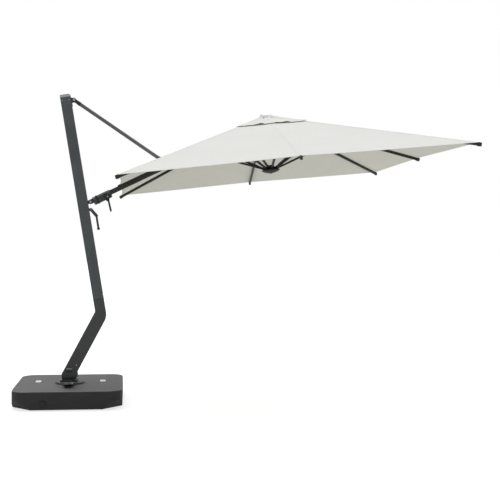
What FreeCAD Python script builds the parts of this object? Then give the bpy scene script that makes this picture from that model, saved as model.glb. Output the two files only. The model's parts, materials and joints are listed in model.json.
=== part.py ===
"""Cantilever patio umbrella with a ballast tank base, as a parametric assembly.

The row frame has its origin at the centre of the ground contact plane, +Z up, and +X
along the boom, from the mast towards the canopy. All lengths are millimetres.
Tilted pieces are built in a frame of their own (mast, leg, boom, strut or canopy) and
each finished piece is then placed in the row frame.
"""
import FreeCAD, Part, Sketcher
import math
import os

V = FreeCAD.Vector
doc = FreeCAD.newDocument("patio_umbrella")
sheet = doc.addObject("Spreadsheet::Sheet", "Size")

SIZES = {
    # tank base
    "tank_wide": 1005, "tank_high": 164, "tank_corner": 125, "tank_wall": 5,
    "tank_edge": 14, "tank_cut": 75, "foot_high": 10, "foot_rad": 50, "foot_place": 330,
    "plate_rad": 150, "plate_thick": 10, "plate_sunk": 8, "tab_wide": 112, "tab_thick": 4,
    "lid_wide": 53, "lid_long": 100, "lid_thick": 5, "lid_place": 310, "lid_back": 90,
    "lid_barrel": 3, "neck_rad": 16, "plug_rad": 25, "plug_thick": 9, "plug_stem": 11,
    "plug_place": 212, "plug_level": 65,
    # pedal
    "pedal_wide": 85, "pedal_thick": 9, "pedal_level": 192, "pedal_back": 161,
    "pedal_pin": 5, "pedal_ear": 5,
    # turntable and foot
    "race_in": 100, "race_out": 130, "race_thick": 3, "disc_rad": 137, "disc_thick": 8,
    "flange_wide": 163, "flange_deep": 120, "flange_thick": 20, "neck_high": 16,
    "collar_high": 40, "bolt_rad": 6, "bolt_head": 10, "bolt_space_x": 138,
    "bolt_space_y": 92,
    # mast
    "leg_lean": 28.2, "leg_deep": 123, "mast_lean": 9.25, "mast_deep": 101,
    "mast_thick": 66, "mast_wall": 4, "elbow_x": 295, "elbow_z": 830, "joint_up": 150,
    "mast_top": 2110, "cap_high": 27, "slot_wide": 20, "slot_low": 200, "slot_high": 1215,
    # strut
    "top_clear": 26.65, "top_up": 2072.55, "strut_rad": 17.5, "strut_wall": 2,
    "strut_end": 45, "eye_play": 8, "eye_thick": 25, "eye_rad": 21, "eye_bore": 13.6, "top_pin": 6,
    "strut_pin": 5, "strut_boss": 13, "cheek_thick": 6,
    # carriage and handle
    "knuckle_clear": 24.56, "knuckle_up": 1083.02, "knuckle_rad": 21.5, "knuckle_pin": 6,
    "block_play": 2.5, "block_wide": 50, "block_low": 955, "block_high": 1135,
    "tongue_rad": 20, "handle_up": 1010, "handle_clear": 16.5, "handle_pin": 5,
    "grip_clear": 58.5, "grip_top": 943, "grip_end": 818, "grip_rad": 10, "ball_rad": 14.5,
    "arm_thick": 30, "arm_wide": 28,
    # boom
    "boom_rise": 25.6, "boom_wide": 42, "boom_deep": 46, "boom_wall": 3,
    "boom_start": 31, "house_start": 27, "house_end": 211, "house_wide": 66,
    "house_over": 29, "house_under": 47, "house_round": 9, "lug_along": 810.4,
    "lug_clear": 17.3, "lug_plate": 2.2, "lug_long": 76, "boom_stop": 96,
    # crank
    "hub_along": 168.8, "hub_under": 26, "drum_rad": 13, "drum_flange": 16,
    "drum_wide": 26, "axle_rad": 6, "crank_boss": 17, "crank_gap": 43, "crank_thick": 8,
    "crank_long": 140, "crank_wide": 18, "crank_aim": 76.7, "knob_rad": 9,
    "knob_long": 42, "knob_pin": 4,
    # canopy
    "canopy_x": 1950, "canopy_z": 2193, "canopy_tilt": 5.5, "canopy_half": 1500,
    "mid_raise": 19, "apex_up": 568, "cloth_thick": 1.2, "hem_draw": 22,
    "hole_half": 250, "cloth_gap": 0.4, "vent_half": 340, "vent_up": 22,
    "vent_in": 46, "vent_crown": 551, "rib_deep": 26, "rib_wide": 14, "rib_wall": 1.6,
    "twin_wide": 12, "twin_gap": 25, "pivot_out": 75, "rib_eye": 11, "rib_pin": 4,
    "rib_cap": 32, "join_along": 684, "fold_mid": 7, "fold_corner": 6,
    "stay_deep": 18, "stay_cheek": 3.5, "stay_fork": 124, "twin_fork": 150, "stay_eye": 9,
    "crown_rad": 44, "crown_high": 40, "cheek": 4.5, "cap_rad": 58, "cap_thick": 6,
    "runner_rad": 37, "dome_rad": 88, "dome_high": 27, "dome_low": 34, "runner_under": 46,
    # fits
    "run": 0.1, "gap": 0.4,
}
for line, (alias, value) in enumerate(SIZES.items(), start=1):
    sheet.set(f"A{line}", str(value))
    sheet.setAlias(f"A{line}", alias)
doc.recompute()


# places that follow from a driving size and a named clearance
FOLLOWING = {
    "top_out": "($mast_deep / 2 + $top_clear)",
    "knuckle_out": "($mast_deep / 2 + $knuckle_clear)",
    "handle_out": "($mast_deep / 2 + $handle_clear)",
    "grip_out": "($mast_deep / 2 + $grip_clear)",
    "block_deep": "($mast_deep - 2 * $mast_wall - 2 * $block_play)",
    "lug_over": "($boom_deep / 2 + $lug_clear)",
}


def spelled(text):
    """An expression with each following place written out in the sheet's aliases."""
    for name, formula in FOLLOWING.items():
        text = text.replace(f"${name}", formula)
    return text


def num(text):
    """The number that an expression in the sheet's aliases stands for."""
    text = spelled(text)
    for alias in sorted(SIZES, key=len, reverse=True):
        text = text.replace(f"${alias}", f"Size.{alias}")
    return float(sheet.evalExpression(text))


class S:
    """The sheet's values as plain numbers, for the pieces that need trigonometry."""


for alias in SIZES:
    setattr(S, alias, float(sheet.get(alias)))


def bound(text):
    """A $alias expression in the form that setExpression reads."""
    return spelled(text).replace("$", "Size.")


for name in FOLLOWING:
    setattr(S, name, num(f"${name}"))


# ---------------------------------------------------------------- frames
def tilted(x, z, degrees):
    """A frame at (x, 0, z), turned about +Y: a positive angle tips +X downwards."""
    return FreeCAD.Placement(V(x, 0, z), FreeCAD.Rotation(V(0, 1, 0), degrees))


WORLD = FreeCAD.Placement()
LEG = tilted(S.elbow_x, S.elbow_z, S.leg_lean)          # z up along the leg
MAST = tilted(S.elbow_x, S.elbow_z, -S.mast_lean)       # z up along the column, x forward
KNUCKLE = V(S.knuckle_out, 0, S.knuckle_up)             # in the mast's frame
TOP = V(S.top_out, 0, S.top_up)
PIVOT_K, PIVOT_T = MAST.multVec(KNUCKLE), MAST.multVec(TOP)
BOOM = tilted(PIVOT_K.x, PIVOT_K.z, -S.boom_rise)       # x along the boom, z above it
CANOPY = tilted(S.canopy_x, S.canopy_z, -S.canopy_tilt)  # z along the canopy's axis
PIVOT_B = BOOM.multVec(V(S.lug_along, 0, S.lug_over))
STRUT_RUN = PIVOT_B - PIVOT_T
STRUT_DROP = math.degrees(math.atan2(-STRUT_RUN.z, STRUT_RUN.x))
STRUT = tilted(PIVOT_T.x, PIVOT_T.z, STRUT_DROP)          # x from mast top to boom

parts = []


def keep(obj, label, frame=WORLD):
    """Names a finished piece and places it in the row frame."""
    if any("Placement" in path for path, _ in obj.ExpressionEngine):
        obj = group(obj)
    obj.Label = label
    obj.Placement = frame.multiply(obj.Placement)
    parts.append(obj)
    return obj


# ---------------------------------------------------------------- primitives
def box(size, centre):
    """A box bound to the sheet: size and centre are triples of $alias expressions."""
    obj = doc.addObject("Part::Box", "box")
    for prop, edge in zip(("Length", "Width", "Height"), size):
        obj.setExpression(prop, bound(edge))
    for axis, edge, middle in zip("xyz", size, centre):
        obj.setExpression(f"Placement.Base.{axis}", bound(f"({middle}) - ({edge}) / 2"))
    return obj


TURN = {"x": FreeCAD.Rotation(V(0, 1, 0), 90), "y": FreeCAD.Rotation(V(1, 0, 0), -90)}


def rod(radius, length, centre, axis="z"):
    """A cylinder centred on a point, along x, y or z."""
    obj = doc.addObject("Part::Cylinder", "rod")
    obj.setExpression("Radius", bound(radius))
    obj.setExpression("Height", bound(length))
    if axis in TURN:
        obj.Placement.Rotation = TURN[axis]
    for letter, middle in zip("xyz", centre):
        shift = f" - ({length}) / 2" if letter == axis else ""
        obj.setExpression(f"Placement.Base.{letter}", bound(f"({middle}){shift}"))
    return obj


def fuse(*pieces):
    obj = doc.addObject("Part::MultiFuse", "fuse")
    obj.Shapes = list(pieces)
    return obj


def cut(base, *tools):
    obj = doc.addObject("Part::Cut", "cut")
    obj.Base = base
    obj.Tool = tools[0] if len(tools) == 1 else fuse(*tools)
    return obj


def common(one, other):
    obj = doc.addObject("Part::Common", "common")
    obj.Base = one
    obj.Tool = other
    return obj


def group(*pieces):
    """Identical loose pieces that share one node as separate solids."""
    obj = doc.addObject("Part::Compound", "group")
    obj.Links = list(pieces)
    return obj


def made(shape):
    """A piece whose shape is worked out in code from the sheet's values."""
    obj = doc.addObject("Part::Feature", "made")
    obj.Shape = shape
    return obj


def turned(obj, frame):
    """Places a tool or a sub-shape before it goes into a boolean."""
    doc.recompute()
    return made(obj.Shape.transformed(frame.toMatrix()))


# ---------------------------------------------------------------- sketched bodies
def plane_of(body, role):
    return next(f for f in body.Origin.OriginFeatures if f.Role == role)


def attached(body, role):
    sketch = body.newObject("Sketcher::SketchObject", "sketch")
    sketch.AttachmentSupport = [(plane_of(body, role), "")]
    sketch.MapMode = "FlatFace"
    return sketch


def closed(sketch, points):
    """Straight edges through the points, joined end to end."""
    count = len(points)
    for here, there in zip(points, points[1:] + points[:1]):
        sketch.addGeometry(Part.LineSegment(V(*here, 0), V(*there, 0)))
    for edge in range(count):
        after = (edge + 1) % count
        sketch.addConstraint(Sketcher.Constraint("Coincident", edge, 2, after, 1))
    return sketch


def rectangle(body, role, wide, deep):
    """A centred rectangle whose two sizes are bound to the sheet."""
    sketch = attached(body, role)
    w, d = num(wide) / 2, num(deep) / 2
    closed(sketch, [(-w, -d), (w, -d), (w, d), (-w, d)])
    for edge, way in ((0, "Horizontal"), (2, "Horizontal"), (1, "Vertical"), (3, "Vertical")):
        sketch.addConstraint(Sketcher.Constraint(way, edge))
    sketch.addConstraint(Sketcher.Constraint("Symmetric", 0, 1, 1, 2, -1, 1))
    for name, edge, size in (("wide", 0, wide), ("deep", 1, deep)):
        last = sketch.addConstraint(Sketcher.Constraint("Distance", edge, num(size)))
        sketch.renameConstraint(last, name)
        sketch.setExpression(f"Constraints.{name}", bound(size))
    return sketch


def pad(body, sketch, length, symmetric=False):
    feature = body.newObject("PartDesign::Pad", "pad")
    feature.Profile = sketch
    feature.setExpression("Length", bound(length))
    feature.SideType = "Symmetric" if symmetric else "One side"
    doc.recompute()
    return feature


def pocket_through(body, sketch):
    feature = body.newObject("PartDesign::Pocket", "pocket")
    feature.Profile = sketch
    feature.Type = "ThroughAll"
    feature.SideType = "Symmetric"
    before = body.Shape.Volume
    doc.recompute()
    if not body.Shape.Volume < before:
        raise RuntimeError("a pocket cut nothing")
    return feature


def rounded(body, feature, radius, wanted):
    """Fillets the edges of a feature that wanted(edge) picks out."""
    names = [f"Edge{i}" for i, e in enumerate(feature.Shape.Edges, 1) if wanted(e)]
    fillet = body.newObject("PartDesign::Fillet", "fillet")
    fillet.Base = (feature, names)
    fillet.setExpression("Radius", bound(radius))
    doc.recompute()
    return fillet


def runs_along(axis):
    """Picks the straight edges that are parallel to an axis."""
    def wanted(edge):
        if edge.Curve.TypeId != "Part::GeomLine":
            return False
        return abs(abs(edge.tangentAt(edge.FirstParameter).dot(axis)) - 1) < 1e-6
    return wanted


def tube(wide, deep, length, corner, wall):
    """A square tube standing on z = 0, open at both ends."""
    body = doc.addObject("PartDesign::Body", "tube")
    outer = pad(body, rectangle(body, "XY_Plane", wide, deep), length)
    rounded(body, outer, corner, runs_along(V(0, 0, 1)))
    hollow = rectangle(body, "XY_Plane", f"{wide} - 2 * {wall}", f"{deep} - 2 * {wall}")
    pocket_through(body, hollow)
    return body


# ---------------------------------------------------------------- tank base
def tank_blank(shrink):
    """The tank's outer form, made smaller all round by an expression."""
    body = doc.addObject("PartDesign::Body", "tank")
    wide = f"$tank_wide - 2 * ({shrink})"
    block = pad(body, rectangle(body, "XY_Plane", wide, wide), f"$tank_high - 2 * ({shrink})")
    upright = rounded(body, block, f"$tank_corner - ({shrink})", runs_along(V(0, 0, 1)))
    top = num(f"$tank_high - 2 * ({shrink})")
    rounded(body, upright, "$tank_edge",
            lambda e: min(v.Z for v in e.Vertexes) > top - 1e-3)
    body.setExpression("Placement.Base.z", bound(f"$foot_high + ({shrink})"))
    corner = num(f"$tank_wide / 2 - $tank_corner * 0.2929 - ({shrink})")
    low = num(f"$foot_high + ({shrink})")
    cutters = []
    for quarter in range(4):
        wedge = Part.makeBox(400, 400, 400, V(0, -200, -400))
        wedge.rotate(V(0, 0, 0), V(0, 1, 0), -45)
        wedge.translate(V(corner * math.sqrt(2) - S.tank_cut, 0, low))
        wedge.rotate(V(0, 0, 0), V(0, 0, 1), 45 + 90 * quarter)
        cutters.append(made(wedge))
    return cut(body, *cutters)


TANK_TOP = "$foot_high + $tank_high"
LID_SIDES = (("left", "-"), ("right", ""))


def lid_hinge(x):
    """The middle of a lid's hinge line, along the lid's back edge."""
    return x, "$lid_back + $lid_long / 2", f"{TANK_TOP} + 1"


def build_base():
    cavity = tank_blank("$tank_wall + $plate_sunk + $plate_thick / 2")
    recess = rod("$plate_rad + $gap", "$plate_sunk * 2", ("0", "0", TANK_TOP))
    tools = [cavity, recess]
    for _, sign in LID_SIDES:
        x = f"{sign}$lid_place"
        level = f"{TANK_TOP}"
        tools.append(box(("$lid_wide + 2 * $gap", "$lid_long + 2 * $gap", "2 * $lid_thick"),
                         (x, "$lid_back", level)))
        tools.append(rod("$neck_rad", "$tank_high / 2", (x, "$lid_back - 15", level)))
        tools.append(rod("$lid_barrel + $gap", "$lid_wide + 2 * $gap", lid_hinge(x), "x"))
    tools.append(rod("$plug_stem + $run", "$tank_wide / 8",
                     ("-$plug_place", "-$tank_wide / 2", "$plug_level"), "y"))
    keep(cut(tank_blank("0"), *tools), "base_tank")
    keep(tank_blank("$tank_wall + $plate_sunk + $plate_thick / 2 + $gap"), "ballast_fill")
    feet = [rod("$foot_rad", "$foot_high", (f"{a}$foot_place", f"{b}$foot_place",
                                            "$foot_high / 2"))
            for a in ("", "-") for b in ("", "-")]
    feet.append(rod("$foot_rad", "$foot_high", ("0", "0", "$foot_high / 2")))
    keep(group(*feet), "base_feet")
    for side, sign in LID_SIDES:
        x = f"{sign}$lid_place"
        level = f"{TANK_TOP} - $lid_thick / 2 + 1"
        slab = box(("$lid_wide", "$lid_long", "$lid_thick"), (x, "$lid_back", level))
        barrel = rod("$lid_barrel", "$lid_wide", lid_hinge(x), "x")
        keep(fuse(slab, barrel), f"filler_lid_{side}")
    build_plug()


def build_plug():
    """The drain plug: a disc with a hexagon socket, on a stem into the tank's front."""
    front = "-$tank_wide / 2 - $gap"
    spot = ("-$plug_place", f"{front} - $plug_thick / 2", "$plug_level")
    disc = rod("$plug_rad", "$plug_thick", spot, "y")
    stem = rod("$plug_stem", "16", ("-$plug_place", f"{front} + 8", "$plug_level"), "y")
    hexagon = Part.makePolygon([V(8 * math.cos(a), 0, 8 * math.sin(a))
                                for a in [i * math.pi / 3 for i in range(7)]])
    socket = Part.Face(hexagon).extrude(V(0, 6, 0))
    socket.translate(V(-S.plug_place, num(f"{bound(front)} - $plug_thick") - 1, S.plug_level))
    keep(cut(fuse(disc, stem), made(socket)), "drain_plug")


def build_anchor():
    """The steel plate let into the tank's top, with the pedal's two ears and the race."""
    base = f"{TANK_TOP} - $plate_sunk + $gap / 2"
    plate = rod("$plate_rad", "$plate_thick", ("0", "0", f"{base} + $plate_thick / 2"))
    tab_low = f"{TANK_TOP} + $gap"
    tab = box(("$tab_wide", "36", "$tab_thick"),
              ("0", "-$pedal_back", f"{tab_low} + $tab_thick / 2"))
    pieces = [plate, tab]
    for sign in ("", "-"):
        x = f"{sign}($tab_wide / 2 - $pedal_ear / 2)"
        ear = box(("$pedal_ear", "22", "$pedal_level - ($foot_high + $tank_high)"),
                  (x, "-$pedal_back", f"({TANK_TOP} + $pedal_level) / 2 + 1"))
        pieces.append(ear)
        pieces.append(rod("11", "$pedal_ear", (x, "-$pedal_back", "$pedal_level"), "x"))
    hole = rod("$pedal_pin + $run", "$tab_wide + 2", ("0", "-$pedal_back", "$pedal_level"), "x")
    keep(cut(fuse(*pieces), hole), "anchor_plate")
    race_level = f"{base} + $plate_thick + $race_thick / 2"
    ring = cut(rod("$race_out", "$race_thick", ("0", "0", race_level)),
               rod("$race_in", "$race_thick + 2", ("0", "0", race_level)))
    keep(ring, "bearing_ring")


def ribbon(points, thick, wide):
    """A bent strip across X: its middle line in the YZ plane, with a given thickness."""
    above, below = [], []
    for i, (y, z) in enumerate(points):
        before = points[max(i - 1, 0)]
        after = points[min(i + 1, len(points) - 1)]
        run = math.hypot(after[0] - before[0], after[1] - before[1])
        ny, nz = -(after[1] - before[1]) / run, (after[0] - before[0]) / run
        above.append(V(-wide / 2, y + ny * thick / 2, z + nz * thick / 2))
        below.append(V(-wide / 2, y - ny * thick / 2, z - nz * thick / 2))
    loop = above + below[::-1]
    return Part.Face(Part.makePolygon(loop + loop[:1])).extrude(V(wide, 0, 0))


def build_pedal():
    """The foot pedal: an S-shaped strip on a cross shaft, with a pad at its free end."""
    y, z = -S.pedal_back, S.pedal_level
    strip = [(y + 16, z + 6), (y, z + 3), (y - 25, z + 1), (y - 50, z - 3), (y - 74, z),
             (y - 92, z + 8), (y - 108, z + 13), (y - 128, z + 14)]
    bar = ribbon(strip, S.pedal_thick, S.pedal_wide)
    shaft = Part.makeCylinder(S.pedal_pin, S.tab_wide, V(-S.tab_wide / 2, y, z), V(1, 0, 0))
    bar = bar.fuse(Part.makeCylinder(9, S.pedal_wide, V(-S.pedal_wide / 2, y, z), V(1, 0, 0)))
    top = z + 14 + S.pedal_thick / 2
    tread = Part.makeBox(S.pedal_wide - 8, 26, 3.5, V(4 - S.pedal_wide / 2, y - 130, top - 1.5))
    tread = tread.cut(bar)
    keep(made(Part.makeCompound([bar.fuse(shaft), tread])), "pedal")


# ---------------------------------------------------------------- mast
DISC_LOW = "$foot_high + $tank_high - $plate_sunk + $gap / 2 + $plate_thick + $race_thick + $gap"
FLANGE_LOW = f"{DISC_LOW} + $disc_thick"
NECK_LOW = f"{FLANGE_LOW} + $flange_thick"
COLLAR_LOW = f"{NECK_LOW} + $neck_high"
COLLAR_TOP = f"{COLLAR_LOW} + $collar_high"


def leg_x(level):
    """Where the leg's centre line stands at a height."""
    return S.elbow_x - (S.elbow_z - level) * math.tan(math.radians(S.leg_lean))


def build_foot():
    top = num(bound(COLLAR_TOP))
    middle = leg_x(top)
    cut_deep = S.leg_deep / math.cos(math.radians(S.leg_lean))
    disc = doc.addObject("PartDesign::Body", "disc")
    sketch = attached(disc, "XY_Plane")
    sketch.addGeometry(Part.Circle(V(0, 0, 0), V(0, 0, 1), S.disc_rad))
    sketch.addConstraint(Sketcher.Constraint("Coincident", 0, 3, -1, 1))
    sketch.addConstraint(Sketcher.Constraint("Radius", 0, S.disc_rad))
    sketch.renameConstraint(1, "rim")
    sketch.setExpression("Constraints.rim", bound("$disc_rad"))
    block = pad(disc, sketch, "$disc_thick")
    rounded(disc, block, "$disc_thick / 3", lambda e: e.Vertexes[0].Z > 1)
    disc.setExpression("Placement.Base.z", bound(DISC_LOW))
    keep(disc, "turntable")
    flange = box(("$flange_wide", "$flange_deep", "$flange_thick"),
                 (str(middle), "0", f"{FLANGE_LOW} + $flange_thick / 2"))
    neck = box((str(cut_deep - 12), "$mast_thick - 10", "$neck_high"),
               (str(middle), "0", f"{NECK_LOW} + $neck_high / 2"))
    collar = box((str(cut_deep), "$mast_thick", "$collar_high"),
                 (str(middle), "0", f"{COLLAR_LOW} + $collar_high / 2"))
    inner = "(2 * $mast_wall + 2 * $gap)"
    spigot = box((f"$leg_deep - {inner}", f"$mast_thick - {inner}", "220"),
                 ("0", "0", str((top - S.elbow_z) / math.cos(math.radians(S.leg_lean)) - 20)))
    spigot = turned(spigot, LEG)
    above = box(("400", "400", "60"), (str(middle), "0", f"{COLLAR_TOP} + 29"))
    spigot = common(spigot, above)
    holes = [rod("$bolt_rad + $run", "60", (f"{middle} + {a}$bolt_space_x / 2",
                                            f"{b}$bolt_space_y / 2", FLANGE_LOW))
             for a in ("", "-") for b in ("", "-")]
    keep(cut(fuse(flange, neck, collar, spigot), *holes), "foot_socket")
    bolts = []
    for a in ("", "-"):
        for b in ("", "-"):
            spot = (f"{middle} + {a}$bolt_space_x / 2", f"{b}$bolt_space_y / 2")
            shank = rod("$bolt_rad", "$flange_thick", spot + (f"{FLANGE_LOW} + $flange_thick / 2",))
            head = rod("$bolt_head", "6", spot + (f"{NECK_LOW} + 3",))
            bolts.append(fuse(shank, head))
    keep(group(*bolts), "foot_bolts")


def mast_outline(inset, low, high):
    """The bent tube's side outline in the row's XZ plane, inset all round by a wall."""
    lean, back = math.radians(S.leg_lean), math.radians(S.mast_lean)

    def cross(side):
        leg_half = side * (S.leg_deep / 2 - inset)
        mast_half = side * (S.mast_deep / 2 - inset)
        p = V(leg_half * math.cos(lean), 0, -leg_half * math.sin(lean))
        q = V(mast_half * math.cos(back), 0, mast_half * math.sin(back))
        a, b = V(math.sin(lean), 0, math.cos(lean)), V(-math.sin(back), 0, math.cos(back))
        along = ((q - p).x * b.z - (q - p).z * b.x) / (a.x * b.z - a.z * b.x)
        meet = p + a * along
        return meet.x + S.elbow_x, meet.z + S.elbow_z

    def foot(side):
        half = side * (S.leg_deep / 2 - inset) / math.cos(lean)
        return leg_x(low) + half, low

    def head(side):
        spot = MAST.multVec(V(side * (S.mast_deep / 2 - inset), 0, high))
        return spot.x, spot.z
    return [foot(-1), foot(1), cross(1), head(1), head(-1), cross(-1)]


def build_mast():
    low = num(bound(COLLAR_TOP))
    body = doc.addObject("PartDesign::Body", "leg")
    outline = closed(attached(body, "XZ_Plane"), mast_outline(0, low, S.joint_up))
    block = pad(body, outline, "$mast_thick", symmetric=True)
    points = mast_outline(0, low, S.joint_up)

    def at(corner):
        return lambda e: all(abs(v.X - corner[0]) < 1 and abs(v.Z - corner[1]) < 1
                             for v in e.Vertexes)
    rounded(body, block, "$leg_deep", at(points[2]))
    inner = [e for e in body.Tip.Shape.Edges if at(points[5])(e)]
    if inner:
        rounded(body, body.Tip, "$mast_deep / 3", at(points[5]))
    long_edges = body.Tip
    rounded(body, long_edges, "$mast_wall * 2",
            lambda e: e.Length > 100 and max(abs(v.Y) for v in e.Vertexes)
            > S.mast_thick / 2 - 0.1 and abs(e.Vertexes[0].Y - e.Vertexes[-1].Y) < 0.1)
    hollow = made(Part.Face(Part.makePolygon(
        [V(x, -S.mast_thick / 2 + S.mast_wall, z) for x, z in
         (lambda p: p + p[:1])(mast_outline(S.mast_wall, low - 1, S.joint_up + 1))]
    )).extrude(V(0, S.mast_thick - 2 * S.mast_wall, 0)))
    keep(cut(body, hollow), "mast_leg")

    column = tube("$mast_deep", "$mast_thick", "$mast_top - $joint_up - $gap / 4",
                  "$mast_wall * 2", "$mast_wall")
    column.setExpression("Placement.Base.z", bound("$joint_up + $gap / 4"))
    slot = box(("$mast_wall * 4", "$slot_wide", "$slot_high - $slot_low"),
               ("$mast_deep / 2", "0", "($slot_high + $slot_low) / 2"))
    keep(cut(column, slot), "mast_column", MAST)

    cap = doc.addObject("PartDesign::Body", "cap")
    block = pad(cap, rectangle(cap, "XY_Plane", "$mast_deep", "$mast_thick"), "$cap_high")
    sides = rounded(cap, block, "$mast_wall * 2", runs_along(V(0, 0, 1)))
    rounded(cap, sides, "$cap_high / 4",
            lambda e: min(v.Z for v in e.Vertexes) > S.cap_high - 1e-3)
    cap.setExpression("Placement.Base.z", bound("$mast_top + $gap / 4"))
    inner = "(2 * $mast_wall + 2 * $gap)"
    plug = box((f"$mast_deep - {inner}", f"$mast_thick - {inner}", "30"),
               ("0", "0", "$mast_top - 15 + $gap / 4"))
    bevel = made(Part.makeBox(60, 120, 60, V(-30, -60, 0)))
    bevel.Placement = FreeCAD.Placement(
        V(S.mast_deep / 2, 0, S.mast_top + S.cap_high * 0.55), FreeCAD.Rotation(V(0, 1, 0), 35))
    keep(cut(fuse(cap, plug), bevel), "mast_cap", MAST)


def cheeks(inner, thick, radius, centre, foot_size, foot_centre):
    """Two ears either side of y = 0: a disc round a pivot, run into a foot block."""
    pieces = []
    for sign in ("", "-"):
        y = f"{sign}({inner} + ({thick}) / 2)"
        pieces.append(rod(radius, thick, (centre[0], y, centre[1]), "y"))
        pieces.append(box((foot_size[0], thick, foot_size[1]),
                          (foot_centre[0], y, foot_centre[1])))
    return pieces


def build_top_bracket():
    tx, tz = str(TOP.x), str(TOP.z)
    face = S.mast_deep / 2 + S.gap / 2
    plate = box(("5", "$mast_thick - 14", "84"), (str(face + 2.5), "0", f"{tz} - 14"))
    ears = cheeks("$eye_thick / 2 + $gap", "$cheek_thick", "$eye_rad", (tx, tz),
                  (str(TOP.x - face), "42"), (str((TOP.x + face) / 2), tz))
    hole = rod("$top_pin", "80", (tx, "0", tz), "y")
    play = rod("$eye_rad + $eye_play", "$eye_thick + 2 * $gap", (tx, "0", tz), "y")
    keep(cut(fuse(cut(plate, play), *ears), hole), "top_bracket", MAST)
    pin = rod("$top_pin", "$eye_thick + 2 * $cheek_thick + 8", (tx, "0", tz), "y")
    heads = [rod("$top_pin + 4", "3", (tx, f"{a}($eye_thick / 2 + $gap + $cheek_thick + 2)", tz),
                 "y") for a in ("", "-")]
    keep(fuse(pin, *heads), "top_pin", MAST)


# ---------------------------------------------------------------- carriage and handle
def build_carriage():
    kx, kz = str(KNUCKLE.x), str(KNUCKLE.z)
    block = box(("$block_deep", "$block_wide", "$block_high - $block_low"),
                ("0", "0", "($block_high + $block_low) / 2"))
    wide = "$slot_wide - 2"
    near = S.block_deep / 2 - 2
    neck = box((str(KNUCKLE.x - near), wide, "34"), (str((KNUCKLE.x + near) / 2), "0", kz))
    eye = rod("$tongue_rad", wide, (kx, "0", kz), "y")
    arm = box((f"$handle_out - {near}", wide, "26"),
              (f"($handle_out + {near}) / 2", "0", "$handle_up"))
    nose = rod("13", wide, ("$handle_out", "0", "$handle_up"), "y")
    bores = [rod("$knuckle_pin", "60", (kx, "0", kz), "y")]
    pin = rod("$handle_pin", "$arm_wide", ("$handle_out", "0", "$handle_up"), "y")
    solid = fuse(cut(fuse(block, neck, eye, arm, nose), *bores), pin)
    keep(solid, "carriage_block", MAST)
    pads = []
    thick = "($mast_thick - 2 * $mast_wall - $block_wide) / 2 - 2 * $gap"
    for sign in ("", "-"):
        for level in ("$block_low + 25", "$block_high - 25"):
            y = f"{sign}($block_wide / 2 + $gap + ({thick}) / 2)"
            pads.append(box(("$block_deep - 16", thick, "40"), ("0", y, level)))
    keep(group(*pads), "carriage_glides", MAST)
    pin = rod("$knuckle_pin", "$boom_wide + 2", (kx, "0", kz), "y")
    keep(pin, "knuckle_pin", MAST)


def build_handle():
    """The squeeze handle: a forked arm, a slender grip and a ball at its end."""
    px, pz = S.handle_out, S.handle_up
    run = V(S.grip_out - px, 0, S.grip_top - pz)
    aim = math.degrees(math.atan2(-run.z, run.x))
    frame = FreeCAD.Placement(V(px, 0, pz), FreeCAD.Rotation(V(0, 1, 0), aim))
    half, wide = S.arm_thick / 2, S.arm_wide
    reach = run.Length
    arm = Part.makeBox(reach - 22, wide, 2 * half, V(22, -wide / 2, -half))
    arm = arm.fuse(Part.makeCylinder(half, wide, V(reach, -wide / 2, 0), V(0, 1, 0)))
    arm = arm.fuse(Part.makeCylinder(half, wide, V(0, -wide / 2, 0), V(0, 1, 0)))
    arm = arm.fuse(Part.makeBox(24, wide, 2 * half, V(0, -wide / 2, -half)))
    slit = S.slot_wide / 2 - 1 + S.gap
    arm = arm.cut(Part.makeBox(44, 2 * slit, 4 * half, V(-22, -slit, -2 * half)))
    arm = arm.cut(Part.makeCylinder(S.handle_pin + S.run, 60, V(0, -30, 0), V(0, 1, 0)))
    arm = arm.transformed(frame.toMatrix())
    grip = Part.makeCylinder(S.grip_rad, S.grip_top - S.grip_end - S.ball_rad / 2,
                             V(S.grip_out, 0, S.grip_end + S.ball_rad / 2))
    ball = Part.makeSphere(S.ball_rad, V(S.grip_out, 0, S.grip_end))
    keep(made(arm.fuse(grip).cut(ball)), "handle_lever", MAST)
    keep(made(ball), "handle_ball", MAST)


# ---------------------------------------------------------------- boom
RIDGE = S.apex_up                                   # the cloth's apex on the canopy axis
MID_SLOPE = (S.apex_up - S.mid_raise) / S.canopy_half
CORNER_SLOPE = S.apex_up / (S.canopy_half * math.sqrt(2))


def rib_drop(slope):
    """How far a rib's centre line hangs below the cloth's outer face, along the axis."""
    fall = (2 * MID_SLOPE / math.sqrt(2) - CORNER_SLOPE) if slope == CORNER_SLOPE else 0.03
    beside = fall * S.rib_wide / 2
    return (S.rib_deep / 2 + S.cloth_thick + S.cloth_gap) * math.hypot(1, slope) + beside


def pivot_level(slope):
    return RIDGE - slope * S.pivot_out - rib_drop(slope)


def crown_along():
    """The distance along the boom from the knuckle to the canopy's axis."""
    local = BOOM.inverse().multVec(CANOPY.multVec(V(0, 0, pivot_level(MID_SLOPE))))
    return local.x


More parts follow.
